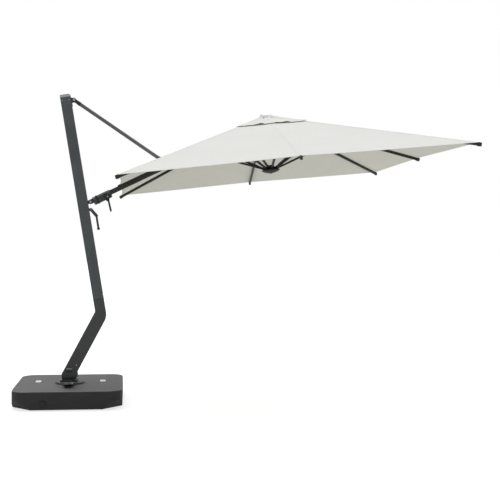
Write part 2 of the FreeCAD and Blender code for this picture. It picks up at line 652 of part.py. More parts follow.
def build_boom():
    crown = crown_along()
    body = doc.addObject("PartDesign::Body", "boom")
    long = crown - S.boom_stop - S.boom_start
    outer = pad(body, rectangle(body, "YZ_Plane", "$boom_wide", "$boom_deep"), str(long))
    rounded(body, outer, "$boom_wall * 2", runs_along(V(1, 0, 0)))
    inner = rectangle(body, "YZ_Plane", "$boom_wide - 2 * $boom_wall",
                      "$boom_deep - 2 * $boom_wall")
    pocket_through(body, inner)
    body.setExpression("Placement.Base.x", bound("$boom_start"))
    window = box(("2 * $drum_flange + 10", "$boom_wide - 2 * $boom_wall", "20"),
                 ("$hub_along", "0", "-$boom_deep / 2 + 5"))
    side = box(("2 * $axle_rad + 4", "$boom_wide + 4", "20"),
               ("$hub_along", "0", "-$boom_deep / 2 + 5 - 1"))
    keep(cut(body, window, side), "boom_tube", BOOM)

    inner = "(2 * $boom_wall + 2 * $gap)"
    oval = rod("$knuckle_rad", "$boom_wide", ("0", "0", "0"), "y")
    body_block = box(("$boom_start - $gap / 2", "$boom_wide", "2 * $knuckle_rad"),
                     ("($boom_start - $gap / 2) / 2", "0", "0"))
    spigot = box(("60", f"$boom_wide - {inner}", f"$boom_deep - {inner}"),
                 ("$boom_start + 28", "0", "0"))
    slit = box(("56", "$slot_wide - 2 + 2 * $gap", "60"), ("-4", "0", "0"))
    bore = rod("$knuckle_pin + $run", "80", ("0", "0", "0"), "y")
    keep(cut(fuse(oval, body_block, spigot), slit, bore), "boom_knuckle", BOOM)

    house = doc.addObject("PartDesign::Body", "house")
    block = pad(house, rectangle(house, "YZ_Plane", "$house_wide", "$house_over + $house_under"),
                "$house_end - $house_start")
    rounded(house, block, "$house_round",
            lambda e: e.Length > 10 and not runs_along(V(0, 0, 1))(e))
    house.setExpression("Placement.Base.x", bound("$house_start"))
    house.setExpression("Placement.Base.z", bound("($house_over - $house_under) / 2"))
    sleeve = box(("400", "$boom_wide + 2 * $gap", "$boom_deep + 2 * $gap"),
                 ("$hub_along", "0", "0"))
    well = box(("2 * $drum_flange + 6", "$boom_wide - 2 * $boom_wall",
                "$house_under - 4 - $boom_deep / 2 + 2"),
               ("$hub_along", "0", "-($house_under - 4 + $boom_deep / 2 - 2) / 2"))
    bore = rod("$axle_rad + $run", "200", ("$hub_along", "0", "-$hub_under"), "y")
    keep(cut(house, sleeve, well, bore), "winch_housing", BOOM)
    build_lug()
    build_crown(crown)


def build_lug():
    base = "$boom_deep / 2 + $gap / 2"
    saddle = box(("$lug_long", "$boom_wide - 2", "$lug_plate"),
                 ("$lug_along", "0", f"{base} + $lug_plate / 2"))
    ears = cheeks("$eye_thick / 2 + $gap", "$cheek_thick", "$strut_boss",
                  ("$lug_along", "$lug_over"), ("2 * $strut_boss", f"$lug_over - ({base})"),
                  ("$lug_along", f"($lug_over + {base}) / 2"))
    hole = rod("$strut_pin", "60", ("$lug_along", "0", "$lug_over"), "y")
    keep(cut(fuse(saddle, *ears), hole), "strut_lug", BOOM)
    pin = rod("$strut_pin", "$eye_thick + 2 * $gap + 2 * $cheek_thick + 1",
              ("$lug_along", "0", "$lug_over"), "y")
    keep(pin, "strut_pin", BOOM)


def pivot_lug(slope_level, azimuth, pin):
    """Two cheeks of a crown or runner round one rib or stay pivot, with its pin."""
    half = S.rib_wide / 2 + S.gap
    pieces = []
    for sign in (1, -1):
        y = sign * (half + S.cheek / 2) - S.cheek / 2
        start = S.runner_rad - 4
        ear = Part.makeBox(S.pivot_out - start, S.cheek, 2 * S.rib_eye, V(start, y, -S.rib_eye))
        disc = Part.makeCylinder(S.rib_eye, S.cheek, V(S.pivot_out, y, 0), V(0, 1, 0))
        pieces += [ear, disc]
    if pin:
        wide = 2 * (half + S.cheek)
        pieces.append(Part.makeCylinder(S.rib_pin, wide, V(S.pivot_out, -wide / 2, 0), V(0, 1, 0)))
    whole = pieces[0].multiFuse(pieces[1:])
    whole.translate(V(0, 0, slope_level))
    whole.rotate(V(0, 0, 0), V(0, 0, 1), azimuth)
    return whole


AZIMUTHS = [45 * k for k in range(8)]
MID, CORNER = MID_SLOPE, CORNER_SLOPE


def slope_of(azimuth):
    return CORNER if azimuth % 90 else MID


def build_crown(crown):
    middle = pivot_level(MID)
    barrel = Part.makeCylinder(S.crown_rad, S.crown_high, V(0, 0, middle - S.crown_high / 2))
    pieces = [barrel]
    for azimuth in AZIMUTHS:
        if azimuth == 180:
            continue
        pieces.append(pivot_lug(pivot_level(slope_of(azimuth)), azimuth, True))
    neck_top = S.vent_crown + S.gap / 2
    pieces.append(Part.makeCylinder(S.vent_in - 2, neck_top - middle, V(0, 0, middle)))
    wide = 2 * (S.twin_gap + S.twin_wide) + 2
    pieces.append(Part.makeCylinder(S.rib_pin, wide, V(-S.pivot_out, -wide / 2, middle), V(0, 1, 0)))
    to_canopy = CANOPY.inverse().multiply(BOOM)
    inner = 2 * (S.boom_wall + S.gap)
    reach = S.boom_stop + 70
    tongue = Part.makeBox(reach, S.boom_wide - inner, S.boom_deep - inner,
                          V(crown - reach - 20, -(S.boom_wide - inner) / 2,
                            -(S.boom_deep - inner) / 2))
    tongue = tongue.transformed(to_canopy.toMatrix())
    hub = pieces[0].multiFuse(pieces[1:] + [tongue])
    keep(made(hub), "crown_hub", CANOPY)
    cap = Part.makeCylinder(S.cap_rad, S.cap_thick / 2, V(0, 0, S.vent_crown + S.gap))
    dome = Part.makeCone(S.cap_rad, S.cap_rad * 0.5, S.cap_thick / 2,
                         V(0, 0, S.vent_crown + S.gap + S.cap_thick / 2))
    keep(made(cap.fuse(dome)), "crown_cap", CANOPY)


# ---------------------------------------------------------------- strut
def build_strut():
    run = STRUT_RUN.Length
    body = doc.addObject("PartDesign::Body", "strut")
    sketch = attached(body, "YZ_Plane")
    for index, (name, size) in enumerate((("outer", "$strut_rad"),
                                          ("inner", "$strut_rad - $strut_wall"))):
        sketch.addGeometry(Part.Circle(V(0, 0, 0), V(0, 0, 1), num(size)))
        sketch.addConstraint(Sketcher.Constraint("Coincident", index, 3, -1, 1))
        last = sketch.addConstraint(Sketcher.Constraint("Radius", index, num(size)))
        sketch.renameConstraint(last, name)
        sketch.setExpression(f"Constraints.{name}", bound(size))
    pad(body, sketch, f"{run} - 2 * $strut_end")
    body.setExpression("Placement.Base.x", bound("$strut_end"))
    keep(body, "strut_tube", STRUT)

    def fitting(x, way, radius, bore):
        inner = "$strut_rad - $strut_wall - $gap"
        eye = rod(radius, "$eye_thick", (x, "0", "0"), "y")
        neck = box(("$strut_end - $gap / 2", "$eye_thick", f"1.5 * ({radius})"),
                   (f"{x} + {way}($strut_end - $gap / 2) / 2", "0", "0"))
        spigot = rod(inner, "50", (f"{x} + {way}($strut_end + 20)", "0", "0"), "x")
        return cut(fuse(eye, neck, spigot), rod(bore, "60", (x, "0", "0"), "y"))
    top = fitting("0", "", "$eye_rad", "$eye_bore")
    low = fitting(str(run), "-", "$strut_boss - 1.5", "$strut_pin + $run")
    keep(group(top, low), "strut_eyes", STRUT)


# ---------------------------------------------------------------- crank
def build_crank():
    hx, hz = "$hub_along", "-$hub_under"
    reach = "$house_wide / 2 + ($crank_gap + $crank_thick - $house_wide / 2)"
    drum = rod("$drum_rad", "$drum_wide", (hx, "0", hz), "y")
    flanges = [rod("$drum_flange", "3", (hx, f"{a}($drum_wide / 2 + 1.5)", hz), "y")
               for a in ("", "-")]
    axle = rod("$axle_rad", f"{reach} + $house_wide / 2 - 4",
               (hx, f"-({reach} - ($house_wide / 2 - 4)) / 2", hz), "y")
    keep(fuse(drum, axle, *flanges), "winch_drum", BOOM)
    aim = FreeCAD.Rotation(V(0, 1, 0), S.crank_aim + S.boom_rise)
    frame = FreeCAD.Placement(V(S.hub_along, 0, -S.hub_under), aim)
    near = S.house_wide / 2 + S.gap
    far = S.crank_gap + S.crank_thick
    boss = Part.makeCylinder(S.crank_boss, far - near, V(0, -far, 0), V(0, 1, 0))
    arm = Part.makeBox(S.crank_long, S.crank_thick, S.crank_wide,
                       V(0, -far, -S.crank_wide / 2))
    end = Part.makeCylinder(S.crank_wide / 2, S.crank_thick, V(S.crank_long, -far, 0), V(0, 1, 0))
    flare = [V(0, -far, S.crank_boss), V(46, -far, S.crank_wide / 2),
             V(46, -far, -S.crank_wide / 2), V(0, -far, -S.crank_boss)]
    web = Part.Face(Part.makePolygon(flare + flare[:1])).extrude(V(0, S.crank_thick, 0))
    arm = boss.multiFuse([arm, end, web])
    arm = arm.cut(Part.makeCylinder(S.axle_rad, 200, V(0, -100, 0), V(0, 1, 0)))
    stub = Part.makeCylinder(S.knob_pin, S.knob_long - 4,
                             V(S.crank_long, -far - S.knob_long + 4, 0), V(0, 1, 0))
    arm = arm.fuse(stub).transformed(frame.toMatrix())
    keep(made(arm), "crank_arm", BOOM)
    knob = Part.makeCylinder(S.knob_rad, S.knob_long,
                             V(S.crank_long, -far - S.gap - S.knob_long, 0), V(0, 1, 0))
    bore = Part.makeCylinder(S.knob_pin + S.run, S.knob_long - 2,
                             V(S.crank_long, -far - S.gap - S.knob_long + 2, 0), V(0, 1, 0))
    keep(made(knob.cut(bore).transformed(frame.toMatrix())), "crank_knob", BOOM)


# ---------------------------------------------------------------- canopy
def travel():
    """The runner's distance below the middle ribs' pivots, open and folded."""
    open_angle = math.pi / 2 - math.atan(MID)
    opened = 2 * S.join_along * math.cos(open_angle)
    folded = 2 * S.join_along * math.cos(math.radians(S.fold_mid))
    return opened, folded


def stay_geometry(slope):
    """Where a stay joins its rib, its length and its rest angle below the rib."""
    opened, folded = travel()
    if slope == MID:
        join, long = S.join_along, S.join_along
    else:
        raised = pivot_level(CORNER) - pivot_level(MID)
        opened, folded = opened + raised, folded + raised
        wide = math.sin(math.atan(slope))
        tight = math.cos(math.radians(S.fold_corner))
        join = (folded ** 2 - opened ** 2) / (2 * (folded * tight - opened * wide))
        long = math.sqrt(join ** 2 + opened ** 2 - 2 * join * opened * wide)
    corner = (join ** 2 + long ** 2 - opened ** 2) / (2 * join * long)
    return join, long, math.acos(corner)


def rib_frame(azimuth):
    """x runs out along the rib from its crown pivot, z stands above it."""
    slope = slope_of(azimuth)
    turn = FreeCAD.Rotation(V(0, 0, 1), azimuth)
    tip = FreeCAD.Rotation(V(0, 1, 0), math.degrees(math.atan(slope)))
    spot = turn.multVec(V(S.pivot_out, 0, pivot_level(slope)))
    return CANOPY.multiply(FreeCAD.Placement(spot, turn.multiply(tip)))


def rib_length(azimuth):
    reach = S.canopy_half * (math.sqrt(2) if azimuth % 90 else 1) - S.pivot_out
    return reach * math.hypot(1, slope_of(azimuth)) - 8


def rib_bar(long, join, wide):
    """One hollow rib bar with a crown eye, a stay bore and an end cap."""
    deep = S.rib_deep
    start = S.rib_eye + 6
    stop = long - S.rib_cap
    bar = Part.makeBox(stop - start, wide, deep, V(start, -wide / 2, -deep / 2))
    hollow = Part.makeBox(stop - start - 20, wide - 2 * S.rib_wall, deep - 2 * S.rib_wall,
                          V(start + 20, -wide / 2 + S.rib_wall, -deep / 2 + S.rib_wall))
    bar = bar.cut(hollow)
    eye = Part.makeCylinder(S.rib_eye, wide, V(0, -wide / 2, 0), V(0, 1, 0))
    neck = Part.makeBox(start + 2, wide, 2 * S.rib_eye - 4, V(0, -wide / 2, -S.rib_eye + 2))
    plug = Part.makeBox(26, wide, deep, V(join - 13, -wide / 2, -deep / 2))
    bar = bar.multiFuse([eye, neck, plug])
    for x in (0, join):
        bar = bar.cut(Part.makeCylinder(S.rib_pin + S.run, wide + 2,
                                        V(x, -wide / 2 - 1, 0), V(0, 1, 0)))
    cap = Part.makeBox(S.rib_cap, wide, deep, V(stop, -wide / 2, -deep / 2))
    nose = [e for e in cap.Edges if e.BoundBox.XMin > long - 1e-3]
    cap = cap.makeFillet(min(wide, deep) * 0.3, nose)
    return [bar, cap]


def build_rib(azimuth):
    long = rib_length(azimuth)
    join, _, _ = stay_geometry(slope_of(azimuth))
    if azimuth != 180:
        solids = rib_bar(long, join, S.rib_wide)
    else:
        solids = []
        for sign in (1, -1):
            for solid in rib_bar(long, join, S.twin_wide):
                solid.translate(V(0, sign * (S.twin_gap + S.twin_wide / 2), 0))
                solids.append(solid)
    keep(made(Part.makeCompound(solids)), f"rib_{azimuth:03d}", rib_frame(azimuth))


def build_stay(azimuth):
    """A stretcher: a fork astride its rib, then a single bar to the runner."""
    join, long, opening = stay_geometry(slope_of(azimuth))
    twin = azimuth == 180
    half = S.twin_gap + S.twin_wide + S.gap if twin else S.rib_wide / 2 + S.gap
    fork = S.twin_fork if twin else S.stay_fork
    deep, thick = S.stay_deep, S.stay_cheek
    pieces = []
    for side in (half, -half - thick):
        pieces.append(Part.makeBox(fork, thick, deep, V(0, side, -deep / 2)))
        pieces.append(Part.makeCylinder(deep / 2, thick, V(0, side, 0), V(0, 1, 0)))
    pin_wide = 2 * (half + thick)
    pieces.append(Part.makeBox(12, pin_wide, deep, V(fork - 12, -pin_wide / 2, -deep / 2)))
    pieces.append(Part.makeBox(long - fork, S.rib_wide, deep, V(fork - 2, -S.rib_wide / 2,
                                                                -deep / 2)))
    pieces.append(Part.makeCylinder(S.stay_eye, S.rib_wide, V(long, -S.rib_wide / 2, 0),
                                    V(0, 1, 0)))
    if not twin:
        pieces.append(Part.makeCylinder(S.rib_pin, pin_wide, V(0, -pin_wide / 2, 0), V(0, 1, 0)))
    bar = pieces[0].multiFuse(pieces[1:])
    if twin:
        for sign in (1, -1):
            low = sign * (S.twin_gap + S.twin_wide / 2) - (S.twin_wide / 2 + S.gap)
            wide = S.twin_wide + 2 * S.gap
            bar = bar.fuse(Part.makeCylinder(S.rib_pin, wide, V(0, low, 0), V(0, 1, 0)))
    bar = bar.cut(Part.makeCylinder(S.rib_pin + S.run, S.rib_wide + 2,
                                    V(long, -S.rib_wide / 2 - 1, 0), V(0, 1, 0)))
    lean = FreeCAD.Rotation(V(0, 1, 0), 180 - math.degrees(opening))
    frame = rib_frame(azimuth).multiply(FreeCAD.Placement(V(join, 0, 0), lean))
    keep(made(bar), f"stay_{azimuth:03d}", frame)


def build_runner():
    opened, _ = travel()
    level = pivot_level(MID) - opened
    pieces = [Part.makeCylinder(S.runner_rad, 60, V(0, 0, level - 30))]
    for azimuth in AZIMUTHS:
        pieces.append(pivot_lug(level, azimuth, azimuth % 90 == 0))
    low = level - S.runner_under
    pieces.append(Part.makeCone(S.dome_low, S.dome_rad, S.dome_high, V(0, 0, low)))
    pieces.append(Part.makeCylinder(S.dome_rad, 3, V(0, 0, low + S.dome_high)))
    pieces.append(Part.makeCylinder(S.runner_rad, S.runner_under, V(0, 0, low)))
    keep(made(pieces[0].multiFuse(pieces[1:])), "runner", CANOPY)


def cloth_solid(points, triangles, thick):
    """A closed sheet: triangles over the points, and the same points one thickness lower."""
    top = [V(*p) for p in points]
    bottom = [p - V(0, 0, thick) for p in top]
    faces, seen = [], {}
    for a, b, c in triangles:
        faces.append(Part.Face(Part.makePolygon([top[a], top[b], top[c], top[a]])))
        faces.append(Part.Face(Part.makePolygon([bottom[a], bottom[c], bottom[b], bottom[a]])))
        for here, there in ((a, b), (b, c), (c, a)):
            key = frozenset((here, there))
            seen[key] = None if key in seen else (here, there)
    for edge in filter(None, seen.values()):
        a, b = edge
        faces.append(Part.Face(Part.makePolygon([top[a], top[b], bottom[b], bottom[a], top[a]])))
    shell = Part.makeShell(faces)
    shell.sewShape()
    solid = Part.makeSolid(shell)
    if solid.Volume < 0:
        solid.reverse()
    return solid.removeSplitter()


def cloth_level(x, y):
    """The outer face of the main cloth over a point of the rim plane."""
    far, near = max(abs(x), abs(y)), min(abs(x), abs(y))
    return RIDGE - MID * far - (CORNER * math.sqrt(2) - MID) * near


def petal_points(azimuth):
    """Corner points of one rib's petal, in the frame turned by its azimuth."""
    half, hole, draw = S.canopy_half, S.hole_half, S.hem_draw
    if azimuth % 90 == 0:
        return [(hole, 0), (half, 0), (half - draw, half / 2), (hole, hole / 2)]
    turn = math.radians(-45)

    def spun(x, y):
        return (x * math.cos(turn) - y * math.sin(turn), x * math.sin(turn) + y * math.cos(turn))
    return [spun(hole, hole), spun(half, half), spun(half / 2, half - draw), spun(hole / 2, hole)]


def build_petal(azimuth):
    """The cloth that one rib carries, out to the middle of the panels beside it."""
    slit = S.twin_gap - 1 if azimuth == 180 else 0
    back = math.radians(45 if azimuth % 90 else 0)

    def lifted(point):
        x, y = point
        px, py = x * math.cos(back) - y * math.sin(back), x * math.sin(back) + y * math.cos(back)
        return (x, y, cloth_level(px, py))
    sides = []
    for sign in (1, -1):
        outline = [lifted((x, sign * max(y, slit))) for x, y in petal_points(azimuth)]
        order = ((0, 1, 2), (0, 2, 3)) if sign > 0 else ((0, 2, 1), (0, 3, 2))
        sides.append((outline, order))
    if slit:
        solids = [cloth_solid(p, o, S.cloth_thick) for p, o in sides]
        shape = Part.makeCompound(solids)
    else:
        points = sides[0][0] + sides[1][0][2:]
        shape = cloth_solid(points, ((0, 1, 2), (0, 2, 3), (0, 4, 1), (0, 5, 4)), S.cloth_thick)
    turn = FreeCAD.Placement(V(0, 0, 0), FreeCAD.Rotation(V(0, 0, 1), azimuth))
    keep(made(shape), f"petal_{azimuth:03d}", CANOPY.multiply(turn))


def build_vent():
    """The small upper cloth over the opening in the middle."""
    inner, outer = [], []
    for azimuth in AZIMUTHS:
        angle = math.radians(azimuth)
        reach = math.sqrt(2) if azimuth % 90 else 1
        x, y = math.cos(angle), math.sin(angle)
        near, far = S.vent_in * reach, S.vent_half * reach
        inner.append((near * x, near * y, S.vent_crown))
        rim = cloth_level(far * x, far * y) + S.vent_up
        outer.append((far * x, far * y, rim))
    points = inner + outer
    triangles = []
    for here in range(8):
        there = (here + 1) % 8
        triangles += [(here, 8 + here, 8 + there), (here, 8 + there, there)]
    keep(made(cloth_solid(points, triangles, S.cloth_thick)), "vent_cap", CANOPY)


build_base()
build_anchor()
build_pedal()
build_foot()
build_mast()
build_top_bracket()
build_carriage()
build_handle()
build_boom()
build_strut()
build_crank()
for azimuth in AZIMUTHS:
    build_rib(azimuth)
    build_stay(azimuth)
    build_petal(azimuth)
build_runner()
build_vent()

doc.recompute()
for obj in doc.Objects:
    if "Invalid" in obj.State or "Error" in obj.State:
        raise RuntimeError(f"{obj.Label} failed: {obj.State}")
os.makedirs("parts", exist_ok=True)
for obj in parts:
    if obj.Shape.isNull() or not obj.Shape.isValid():
        raise RuntimeError(f"{obj.Label} has no valid shape")
    obj.Shape.exportStep(f"parts/{obj.Label}.step")
print(len(parts), "parts")
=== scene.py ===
"""Cantilever patio umbrella with a ballast tank base: its visible surfaces.

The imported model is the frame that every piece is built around. Cloth, moulded trims
and fittings are added in metres, in the same axes, and each one rides on a body.
"""

import json
import logging
import math
from dataclasses import dataclass, field
from enum import Enum
from typing import Any, Callable, Optional, Sequence, Union

import bmesh
import bpy
import numpy as np
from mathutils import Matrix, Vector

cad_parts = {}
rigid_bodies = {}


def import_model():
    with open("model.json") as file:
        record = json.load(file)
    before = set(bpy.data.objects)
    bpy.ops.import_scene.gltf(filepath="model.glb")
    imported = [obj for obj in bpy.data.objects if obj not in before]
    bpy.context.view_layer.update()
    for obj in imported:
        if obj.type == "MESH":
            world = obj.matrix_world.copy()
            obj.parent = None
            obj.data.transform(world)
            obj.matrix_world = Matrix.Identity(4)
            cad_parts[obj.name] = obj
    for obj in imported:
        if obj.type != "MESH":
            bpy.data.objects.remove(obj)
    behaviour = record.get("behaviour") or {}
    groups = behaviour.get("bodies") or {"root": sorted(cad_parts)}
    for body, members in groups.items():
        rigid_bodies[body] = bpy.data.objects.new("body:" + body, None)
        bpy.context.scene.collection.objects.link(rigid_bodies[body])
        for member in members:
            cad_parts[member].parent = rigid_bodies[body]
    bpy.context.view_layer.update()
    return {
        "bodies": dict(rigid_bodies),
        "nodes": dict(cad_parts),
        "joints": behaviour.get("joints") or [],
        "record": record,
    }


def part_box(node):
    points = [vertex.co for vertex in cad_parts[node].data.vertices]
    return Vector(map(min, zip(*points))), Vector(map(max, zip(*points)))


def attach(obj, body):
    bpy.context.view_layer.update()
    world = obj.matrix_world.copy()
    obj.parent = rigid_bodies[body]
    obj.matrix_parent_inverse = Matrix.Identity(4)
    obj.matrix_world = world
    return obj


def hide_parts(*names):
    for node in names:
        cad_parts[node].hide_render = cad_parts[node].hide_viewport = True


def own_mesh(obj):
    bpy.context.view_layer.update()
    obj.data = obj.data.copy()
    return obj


log = logging.getLogger("umbrella")
Array = np.ndarray
Colour = tuple[float, float, float]
UP = np.array([0.0, 0.0, 1.0])
SIDE = np.array([0.0, 1.0, 0.0])
TAU = 2 * math.pi


def tone(red: float, green: float, blue: float) -> Colour:
    """Returns the linear colour of a display colour given from 0 to 255."""
    def linear(level: float) -> float:
        """Undoes the display curve of one channel."""
        share = level / 255
        return share / 12.92 if share <= 0.04045 else ((share + 0.055) / 1.055) ** 2.4
    return (linear(red), linear(green), linear(blue))


# ---------------------------------------------------------------- shader graph
def arithmetic(operation: str, swapped: bool = False) -> Callable[..., "Value"]:
    """Returns a method that adds one Math node, with its operands swapped if asked."""
    def act(value: "Value", *others: "Operand") -> "Value":
        """Adds the node."""
        operands = (*others, value) if swapped else (value, *others)
        return value.graph.maths(operation, *operands)
    return act


class Value:
    """A shader socket on which arithmetic adds Math nodes."""

    __add__ = __radd__ = arithmetic("ADD")
    __sub__, __rsub__ = arithmetic("SUBTRACT"), arithmetic("SUBTRACT", swapped=True)
    __mul__ = __rmul__ = arithmetic("MULTIPLY")
    __truediv__ = arithmetic("DIVIDE")
    __mod__ = arithmetic("FLOORED_MODULO")
    __abs__ = arithmetic("ABSOLUTE")
    sine = arithmetic("SINE")

    def __init__(self, graph: "Graph", socket: bpy.types.NodeSocket) -> None:
        """Wraps one socket of a graph."""
        self.graph, self.socket = graph, socket

    def ramp(self, low: float, high: float) -> "Value":
        """Returns 0 at low and 1 at high, with soft ends.

        Args:
            low: the value that gives 0.
            high: the value that gives 1; it may be the smaller one.
        """
        node = self.graph.add(
            "ShaderNodeMapRange", {"interpolation_type": "SMOOTHSTEP"},
            {"Value": self, "From Min": low, "From Max": high})
        return Value(self.graph, node.outputs[0])


Operand = Union[Value, float]


class Graph:
    """The node tree of a material or of the world."""

    def __init__(self, tree: bpy.types.NodeTree) -> None:
        """Empties the tree."""
        self.tree = tree
        self.tree.nodes.clear()

    def add(self, kind: str, settings: Optional[dict[str, Any]] = None,
            sockets: Optional[dict[Any, Any]] = None) -> bpy.types.Node:
        """Adds one node.

        Args:
            kind: the node's type.
            settings: its properties.
            sockets: a number, colour, socket or Value for each input, by name or place.

        Returns:
            The node.
        """
        node = self.tree.nodes.new(kind)
        for key, value in (settings or {}).items():
            setattr(node, key, value)
        self.feed(node, sockets or {})
        return node

    def feed(self, node: bpy.types.Node, sockets: dict[Any, Any]) -> None:
        """Sets or links inputs of a node, by name or place."""
        for key, value in sockets.items():
            target = node.inputs[key]
            if isinstance(value, Value):
                value = value.socket
            if isinstance(value, bpy.types.NodeSocket):
                self.tree.links.new(value, target)
            elif isinstance(value, tuple) and target.type == "RGBA":
                target.default_value = (*value, 1)
            else:
                target.default_value = value

    def maths(self, operation: str, *operands: Operand) -> Value:
        """Adds one Math node and returns its value."""
        node = self.add("ShaderNodeMath", {"operation": operation},
                        dict(enumerate(operands)))
        return Value(self, node.outputs[0])

    def object_point(self) -> bpy.types.NodeSocket:
        """Returns the surface point in the object's metres."""
        return self.add("ShaderNodeTexCoord").outputs["Object"]

    def apart(self, vector: bpy.types.NodeSocket) -> tuple[Value, Value, Value]:
        """Splits a vector into three values."""
        node = self.add("ShaderNodeSeparateXYZ", {}, {0: vector})
        return tuple(Value(self, socket) for socket in node.outputs)

    def noise(self, scale: float, detail: float = 3.0, rough: float = 0.55,
              vector: Optional[bpy.types.NodeSocket] = None) -> Value:
        """Returns a soft random pattern with about scale blobs to the metre."""
        node = self.add("ShaderNodeTexNoise", {}, {
            "Vector": vector or self.object_point(), "Scale": scale, "Detail": detail,
            "Roughness": rough})
        return Value(self, node.outputs[0])

    def cells(self, scale: float) -> Value:
        """Returns the distance to the nearest of scattered points."""
        node = self.add("ShaderNodeTexVoronoi", {}, {
            "Vector": self.object_point(), "Scale": scale})
        return Value(self, node.outputs["Distance"])

    def stretched(self, factors: tuple[float, float, float]) -> bpy.types.NodeSocket:
        """Returns the surface point scaled differently along each axis."""
        node = self.add("ShaderNodeMapping", {}, {
            "Vector": self.object_point(), "Scale": factors})
        return node.outputs[0]

    def blend(self, share: Operand, first: Any, second: Any) -> bpy.types.NodeSocket:
        """Mixes two colours, from the first at 0 to the second at 1."""
        node = self.add("ShaderNodeMix", {"data_type": "RGBA"},
                        {0: share, 6: first, 7: second})
        return node.outputs[2]


class Paint(Graph):
    """A material that holds one Principled shader."""

    def __init__(self, name: str) -> None:
        """Starts the material."""
        self.material = bpy.data.materials.new(name)
        self.material.use_nodes = True
        super().__init__(self.material.node_tree)
        self.shader = self.add("ShaderNodeBsdfPrincipled")
        self.add("ShaderNodeOutputMaterial", {}, {"Surface": self.shader.outputs[0]})

    def relief(self, height: Value, depth: float, strength: float = 1.0) -> None:
        """Raises the surface by depth metres where height is 1."""
        node = self.add("ShaderNodeBump", {}, {
            "Height": height, "Distance": depth, "Strength": strength})
        self.set_inputs({"Normal": node.outputs[0]})

    def set_inputs(self, sockets: dict[str, Any]) -> None:
        """Sets or links inputs of the Principled shader."""
        self.feed(self.shader, sockets)


# ---------------------------------------------------------------- finishes
@dataclass(frozen=True)
class PowderCoat:
    """Painted metal: a fine orange peel, faint clouds and scuffs in the film."""

    name: str
    colour: Colour
    cloud: Colour
    roughness: float = 0.42
    peel_scale: float = 620.0
    peel_depth: float = 0.00006

    def build(self) -> bpy.types.Material:
        """Returns the material: clouds tint it, scuffs dull it, peel dimples it."""
        graph = Paint(self.name)
        clouds = graph.noise(5.5, 4.0).ramp(0.35, 0.7)
        scuffs = graph.noise(70.0, 6.0, 0.7, graph.stretched((1.0, 1.0, 0.12)))
        marks = scuffs.ramp(0.62, 0.74)
        peel = graph.noise(self.peel_scale, 2.0)
        graph.set_inputs({
            "Base Color": graph.blend(clouds * 0.8 + marks * 0.2, self.colour, self.cloud),
            "Roughness": self.roughness + 0.10 * (clouds - 0.5) + 0.12 * marks,
            "Metallic": 0.0})
        graph.relief(peel, self.peel_depth)
        return graph.material


@dataclass(frozen=True)
class CastMetal:
    """A painted casting: pebbled skin with a rubbed, paler bloom."""

    name: str
    colour: Colour
    rubbed: Colour
    roughness: float = 0.48
    grain: float = 420.0

    def build(self) -> bpy.types.Material:
        """Returns the material: cells pebble it and noise rubs it paler."""
        graph = Paint(self.name)
        pebbles = graph.cells(self.grain)
        bloom = graph.noise(34.0, 5.0, 0.65).ramp(0.5, 0.78)
        graph.set_inputs({
            "Base Color": graph.blend(bloom * 0.75, self.colour, self.rubbed),
            "Roughness": self.roughness + 0.14 * (pebbles - 0.4) - 0.10 * bloom,
            "Metallic": 0.25})
        graph.relief(pebbles + graph.noise(90.0, 3.0) * 1.5, 0.00012)
        return graph.material


@dataclass(frozen=True)
class MouldedPlastic:
    """Moulded plastic: leather grain, flow marks, and paler upward faces, partly dusty and
    partly painted light from above.
    """

    name: str
    colour: Colour
    faded_and_top_lit: Colour
    roughness: float = 0.5
    grain: float = 300.0
    grain_depth: float = 0.00014
    dust_and_top_light: float = 0.35
    specular: float = 0.5

    def build(self) -> bpy.types.Material:
        """Returns the material: upward faces are paler, partly dusty and partly painted light.
        """
        graph = Paint(self.name)
        facing = graph.add("ShaderNodeNewGeometry").outputs["Normal"]
        _, _, rise = graph.apart(facing)
        sky = rise.ramp(0.3, 0.95)
        flow = graph.noise(7.0, 4.0, 0.6, graph.stretched((1.0, 1.0, 3.0)))
        specks = graph.noise(160.0, 4.0, 0.7).ramp(0.66, 0.76)
        # Upward faces turn paler: partly dusty, partly painted light from above.
        fade = sky * self.dust_and_top_light * (0.7 + 0.6 * flow) + 0.18 * flow + 0.25 * specks * sky
        leather = graph.cells(self.grain)
        graph.set_inputs({
            "Base Color": graph.blend(fade, self.colour, self.faded_and_top_lit),
            "Roughness": self.roughness + 0.10 * (flow - 0.5) + 0.08 * specks,
            "Specular IOR Level": self.specular})
        graph.relief(leather + graph.noise(24.0, 3.0) * 2.0, self.grain_depth)
        return graph.material


@dataclass(frozen=True)
class BrightMetal:
    """Plated or bare steel with fine turned or drawn lines."""

    name: str
    colour: Colour
    roughness: float = 0.25
    line_scale: float = 900.0

    def build(self) -> bpy.types.Material:
        """Returns the material: drawn lines and a few dull spots."""
        graph = Paint(self.name)
        lines = graph.noise(self.line_scale, 2.0, 0.5, graph.stretched((1.0, 1.0, 0.05)))
        spots = graph.noise(120.0, 4.0, 0.7).ramp(0.58, 0.72)
        dull = tuple(0.72 * part for part in self.colour)
        graph.set_inputs({
            "Base Color": graph.blend(spots * 0.5, self.colour, dull),
            "Roughness": self.roughness + 0.12 * lines + 0.18 * spots, "Metallic": 1.0})
        graph.relief(lines, 0.00003)
        return graph.material


class Stitching(Enum):
    """Where the sewing lines run on a cloth piece, in its own map."""

    NONE = "none"
    HEM = "hem"
    SEAM = "seam"


